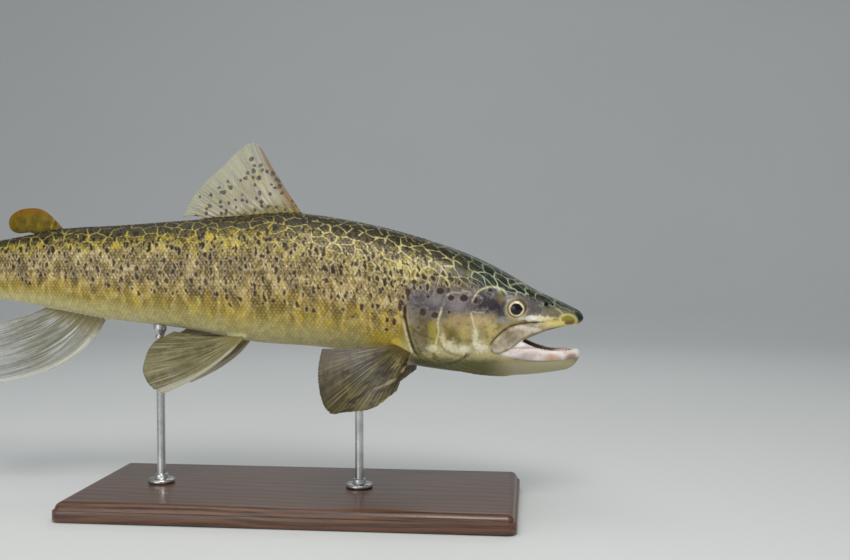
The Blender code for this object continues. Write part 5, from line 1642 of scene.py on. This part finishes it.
def eye_material():
    n = Net("trout_eye")
    rest = n.attr("rest")
    s, y, z = n.split(rest)
    d = near(n, s, z, EYE_S / 10, EYE_Z / 10, 1.0, 1.0)
    # the pupil of a trout is not quite round: it draws to a blunt point forwards
    ds, dz = n.sub(s, EYE_S / 10), n.sub(z, EYE_Z / 10)
    point = n.mul(n.step(n.mul(ds, -1.0), 0.15, 0.55), n.mul(n.step(n.math("ABSOLUTE", dz), 0.28, 0.0), 0.07))
    d2 = n.sub(d, point)
    ang = n.math("ARCTAN2", dz, ds)
    fibre = n.noise(n.join(n.mul(n.math("COSINE", ang), 2.6), n.mul(n.math("SINE", ang), 2.6), n.mul(d, 1.5)), 3.0, 4, 0.65)
    iris = n.mix(n.step(fibre, 0.36, 0.64), srgb(196, 180, 132), srgb(232, 222, 190))
    iris = n.mix(n.mul(n.step(dz, 0.30, 0.65), 0.28), iris, srgb(112, 98, 66))
    iris = n.mix(n.mul(n.step(dz, -0.25, -0.6), 0.3), iris, srgb(206, 194, 172))
    # painted shade where the eyeball runs under the rim of its socket
    iris = n.mix(n.step(d, 0.68, 0.76), iris, srgb(92, 80, 56))
    ringc = n.mul(n.step(d2, 0.475, 0.50), n.step(d2, 0.56, 0.53))
    iris = n.mix(n.mul(ringc, 0.80), iris, srgb(120, 92, 52))
    col = n.mix(n.step(d2, 0.515, 0.495), iris, srgb(3, 3, 5))
    nor = n.bump(n.mul(fibre, n.step(d2, 0.48, 0.52)), 0.00025, 0.5)
    rough = n.step(d2, 0.47, 0.5, 0.10, 0.30)
    return n.finish(col, rough, nor, Coat_Weight=0.7, Coat_Roughness=0.02, Coat_IOR=1.40, Metallic=0.0, Specular_IOR_Level=0.15)


def flesh_material(name, a, b, rough, scale=3.0, bump=0.0003):
    n = Net(name)
    rest = n.attr("rest")
    m = n.noise(rest, scale, 4, 0.6)
    g = n.noise(rest, scale * 7, 3, 0.6)
    col = n.mix(n.step(m, 0.35, 0.65), a, b)
    return n.finish(col, n.add(rough, n.mul(n.sub(g, 0.5), 0.15)), n.bump(g, bump, 0.6), Coat_Weight=0.4, Coat_Roughness=0.1,
                    Subsurface_Weight=0.2, Subsurface_Radius=(0.004, 0.002, 0.0015), Subsurface_Scale=1.0)


def adipose_material():
    n = Net("trout_adipose")
    rest = n.attr("rest")
    s, y, z = n.split(rest)
    ring, share, _ = n.split(n.attr("fin"))
    m = n.noise(rest, 1.7, 3, 0.6)
    g = n.noise(rest, 9.0, 3, 0.6)
    col = n.mix(n.step(m, 0.36, 0.64), srgb(90, 76, 0), srgb(118, 98, 2))
    col = n.mix(n.mul(n.step(z, 27.4, 28.5), 0.55), col, srgb(128, 76, 6))
    col = n.mix(n.mul(n.step(share, 0.86, 1.0), 0.6), col, srgb(118, 82, 12))
    rays = n.noise(n.join(n.mul(n.add(s, n.mul(z, 0.3)), 1.7), n.mul(z, 0.15), 0), 1.0, 3, 0.6)
    col = n.mix(n.mul(n.step(rays, 0.54, 0.64), 0.60), col, srgb(186, 164, 56))
    col = n.mix(n.mul(n.step(n.sub(z, n.mul(n.sub(54.5, s), 0.01)), 26.9, 26.3), 0.5), col, srgb(66, 56, 24))
    cell = n.cells(n.join(s, z), 0.85, "F1", 1.0)
    rr, rg, rb = n.split(cell[1])
    spot = n.mul(n.sub(1.0, n.step(cell[0], 0.16, 0.26)), n.math("LESS_THAN", rg, 0.45))
    col = n.mix(n.mul(spot, 0.45), col, srgb(60, 40, 16))
    return n.finish(col, n.step(g, 0.3, 0.7, 0.40, 0.52), n.bump(g, 0.0003, 0.6), Coat_Weight=0.06, Coat_Roughness=0.15, Specular_IOR_Level=0.16,
                    Subsurface_Weight=0.3, Subsurface_Radius=(0.005, 0.003, 0.001), Subsurface_Scale=1.0)


def wood_material():
    n = Net("stand_wood_finish")
    tc = n.t.nodes.new("ShaderNodeTexCoord").outputs["Object"]
    x, y, z = n.split(tc)
    bend = n.noise(n.join(n.mul(x, 3.0), n.mul(y, 9.0), n.mul(z, 9.0)), 1.0, 3, 0.5)
    rings = n.math("SINE", n.mul(n.add(n.add(n.mul(y, 1.0), n.mul(z, 1.7)), n.mul(n.sub(bend, 0.5), 0.06)), 520.0))
    fibre = n.noise(n.join(n.mul(x, 22.0), n.mul(y, 900.0), n.mul(z, 900.0)), 1.0, 4, 0.6)
    pores = n.noise(n.join(n.mul(x, 60.0), n.mul(y, 1700.0), n.mul(z, 1700.0)), 1.0, 2, 0.5)
    col = n.mix(n.step(rings, -0.8, 0.9), srgb(50, 30, 19), srgb(94, 58, 35))
    col = n.mix(n.mul(n.step(fibre, 0.40, 0.66), 0.5), col, srgb(118, 76, 46))
    col = n.mix(n.mul(n.step(pores, 0.60, 0.72), 0.65), col, srgb(28, 17, 11))
    big = n.noise(n.join(n.mul(x, 5.0), n.mul(y, 12.0), n.mul(z, 12.0)), 1.0, 2)
    col = n.mix(n.mul(n.step(big, 0.4, 0.7), 0.25), col, srgb(66, 38, 24))
    height = n.add(n.mul(fibre, 0.5), n.mul(n.step(pores, 0.60, 0.70), -0.7))
    return n.finish(col, n.step(fibre, 0.3, 0.7, 0.30, 0.44), n.bump(height, 0.00012, 0.5), Coat_Weight=0.35, Coat_Roughness=0.18)


def steel_material():
    n = Net("stand_steel_finish")
    tc = n.t.nodes.new("ShaderNodeTexCoord").outputs["Object"]
    x, y, z = n.split(tc)
    lines = n.noise(n.join(n.mul(x, 60.0), n.mul(y, 60.0), n.mul(z, 5200.0)), 1.0, 3, 0.6)
    smear = n.noise(tc, 45.0, 3, 0.6)
    col = n.mix(n.step(smear, 0.35, 0.7), srgb(176, 177, 178), srgb(206, 206, 204))
    return n.finish(col, n.add(n.step(lines, 0.3, 0.7, 0.20, 0.36), n.mul(n.sub(smear, 0.5), 0.12)), n.bump(lines, 0.00004, 0.35),
                    Metallic=1.0)


def floor_material():
    n = Net("plain_floor")
    tc = n.t.nodes.new("ShaderNodeTexCoord").outputs["Object"]
    m = n.noise(tc, 1.2, 3, 0.5)
    g = n.noise(tc, 60.0, 2, 0.5)
    col = n.mix(n.step(m, 0.3, 0.7), (0.655, 0.665, 0.66, 1), (0.675, 0.685, 0.68, 1))
    return n.finish(col, n.step(g, 0.3, 0.7, 0.62, 0.70))


# ------------------------------------------------------------------ camera, light, floor
def add_camera():
    cam = bpy.data.objects.new("camera", bpy.data.cameras.new("camera"))
    bpy.context.scene.collection.objects.link(cam)
    cam.location = (0.2224251, -0.9630311, 0.254)
    yaw, pitch = math.radians(6.0), math.radians(2.2)
    look = Vector((-math.sin(yaw) * math.cos(pitch), math.cos(yaw) * math.cos(pitch), -math.sin(pitch)))
    cam.rotation_euler = look.to_track_quat("-Z", "Y").to_euler()
    cam.data.sensor_width = 36.0
    cam.data.lens = 1026.0 * 36.0 / 850.0
    cam.data.clip_start = 0.05
    bpy.context.scene.camera = cam


def area(name, loc, target, size, power, color=(1, 1, 1)):
    data = bpy.data.lights.new(name, "AREA")
    data.shape = "RECTANGLE"
    data.size, data.size_y = size
    data.energy = power
    data.color = color
    ob = bpy.data.objects.new(name, data)
    ob.location = loc
    ob.rotation_euler = (Vector(target) - Vector(loc)).to_track_quat("-Z", "Y").to_euler()
    bpy.context.scene.collection.objects.link(ob)
    return ob


def build_floor():
    """Pale studio sweep: a flat floor that curves up far behind the object."""
    prof = [(-30.0, 0.0), (-6.0, 0.0), (-2.0, 0.0), (0.0, 0.0), (1.6, 0.0)]
    for q in range(1, 25):
        a = math.pi / 2 * q / 24
        prof.append((1.6 + 1.6 * math.sin(a), 1.6 * (1 - math.cos(a))))
    prof.append((3.2, 8.0))
    xs = (-30.0, -7.0, -3.0, 0.0, 3.0, 7.0, 30.0)
    co = [(x, y, z) for y, z in prof for x in xs]
    m = len(xs)
    faces = [[r * m + c, r * m + c + 1, (r + 1) * m + c + 1, (r + 1) * m + c] for r in range(len(prof) - 1) for c in range(m - 1)]
    me = bpy.data.meshes.new("floor")
    me.from_pydata(co, [], faces)
    me.shade_smooth()
    ob = bpy.data.objects.new("floor", me)
    bpy.context.scene.collection.objects.link(ob)
    return ob


# ------------------------------------------------------------------ putting it together
def put(ob, mat, slot_name, *nodes):
    ob.data.materials.clear()
    ob.data.materials.append(mat)
    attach(ob, "root")
    if nodes:
        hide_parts(*nodes)
    return ob


put(build_skin(), skin_material(), "trunk_skin", "head", "lower_jaw", "gill_cover_R", "gill_cover_L",
    "maxilla_R", "maxilla_L", "trunk", "tail_stalk")
coat = scale_material()
for piece in build_all_scales():
    put(piece, coat, "trunk_skin")

eye = eye_material()
for tag, sign in (("R", -1), ("L", 1)):
    put(build_eye(tag, sign), eye, "eye", "eye_" + tag)
put(build_teeth(), flesh_material("trout_teeth", srgb(226, 216, 190), srgb(240, 234, 216), 0.25, 6.0, 0.0001), "jaw_skin")
put(build_tongue(), flesh_material("trout_tongue", srgb(176, 128, 118), srgb(206, 170, 156), 0.35, 2.2), "tongue", "tongue")

OLIVE = srgb(104, 92, 52)
fin_looks = {
    "dorsal_fin": (fin_material("fin_dorsal", srgb(212, 206, 184), srgb(158, 150, 100), srgb(158, 152, 142), srgb(156, 160, 150),
                                lead_rgb=srgb(132, 92, 38), spots=(1.45, 0.20, 0.14, 0.84, srgb(58, 50, 32), 0.92),
                                veil=0.45, root_rgb=srgb(112, 100, 34)), "dorsal_skin"),
    "adipose_fin": (adipose_material(), "adipose_skin"),
    "anal_fin": (fin_material("fin_anal", srgb(206, 208, 206), srgb(128, 126, 110), srgb(118, 118, 98), srgb(178, 182, 186),
                              lead_rgb=srgb(214, 212, 200), veil=0.35, root_rgb=srgb(122, 112, 66)), "fin_skin"),
    "pectoral_fin": (fin_material("fin_pectoral", srgb(120, 112, 72), srgb(46, 40, 18), srgb(64, 56, 26), srgb(26, 22, 12),
                                  lead_rgb=srgb(34, 28, 18), mottle=0.85, veil=0.10, root_rgb=srgb(98, 82, 42),
                                  patch_rgb=(srgb(172, 160, 116), srgb(122, 112, 104))), "pectoral_skin"),
    "pelvic_fin": (fin_material("fin_pelvic", srgb(168, 162, 122), srgb(86, 78, 44), srgb(90, 84, 48), srgb(128, 124, 92),
                                lead_rgb=srgb(196, 190, 166), mottle=0.45, veil=0.32, root_rgb=srgb(128, 114, 62)), "fin_skin"),
    "tail_fin": (fin_material("fin_tail", srgb(146, 132, 84), srgb(78, 68, 38), srgb(100, 90, 54), srgb(58, 50, 30),
                              lead_rgb=srgb(104, 62, 36), spots=(1.3, 0.18, 0.12, 0.55, srgb(38, 32, 22), 0.62), mottle=0.35,
                              veil=0.0, root_rgb=srgb(150, 130, 84)), "tail_fin_skin"),
}
for node, piece in build_fins().items():
    key = node[:-2] if node[-2:] in ("_R", "_L") else node
    put(piece, fin_looks[key][0], fin_looks[key][1], node)

put(build_board(), wood_material(), "stand_wood", "stand_base")
steel = steel_material()
put(build_rod("rod_front", "stand_rod_front", 212.0), steel, "stand_metal", "stand_rod_front")
put(build_rod("rod_rear", "stand_rod_rear", 408.0), steel, "stand_metal", "stand_rod_rear")

floor = build_floor()
floor.data.materials.append(floor_material())

add_camera()
area("key", (0.35, -1.05, 1.45), (0.0, 0.0, 0.22), (0.8, 0.6), 15.0, (1.0, 0.985, 0.95))
area("top", (-0.3, -0.15, 1.7), (-0.05, 0.0, 0.2), (1.6, 0.9), 6.5, (1.0, 1.0, 1.0))
area("fill", (-0.7, -1.5, 0.45), (0.0, 0.0, 0.2), (1.2, 0.9), 6.5, (0.95, 0.98, 1.0))
area("rim", (0.1, 1.4, 1.1), (0.0, 0.0, 0.22), (1.6, 0.6), 2.6, (0.95, 1.0, 1.0))
bpy.context.scene.view_settings.view_transform = "Standard"
world = bpy.data.worlds.new("studio")
world.use_nodes = True
world.node_tree.nodes["Background"].inputs[0].default_value = (0.86, 0.90, 0.92, 1)
world.node_tree.nodes["Background"].inputs[1].default_value = 0.42
bpy.context.scene.world = world
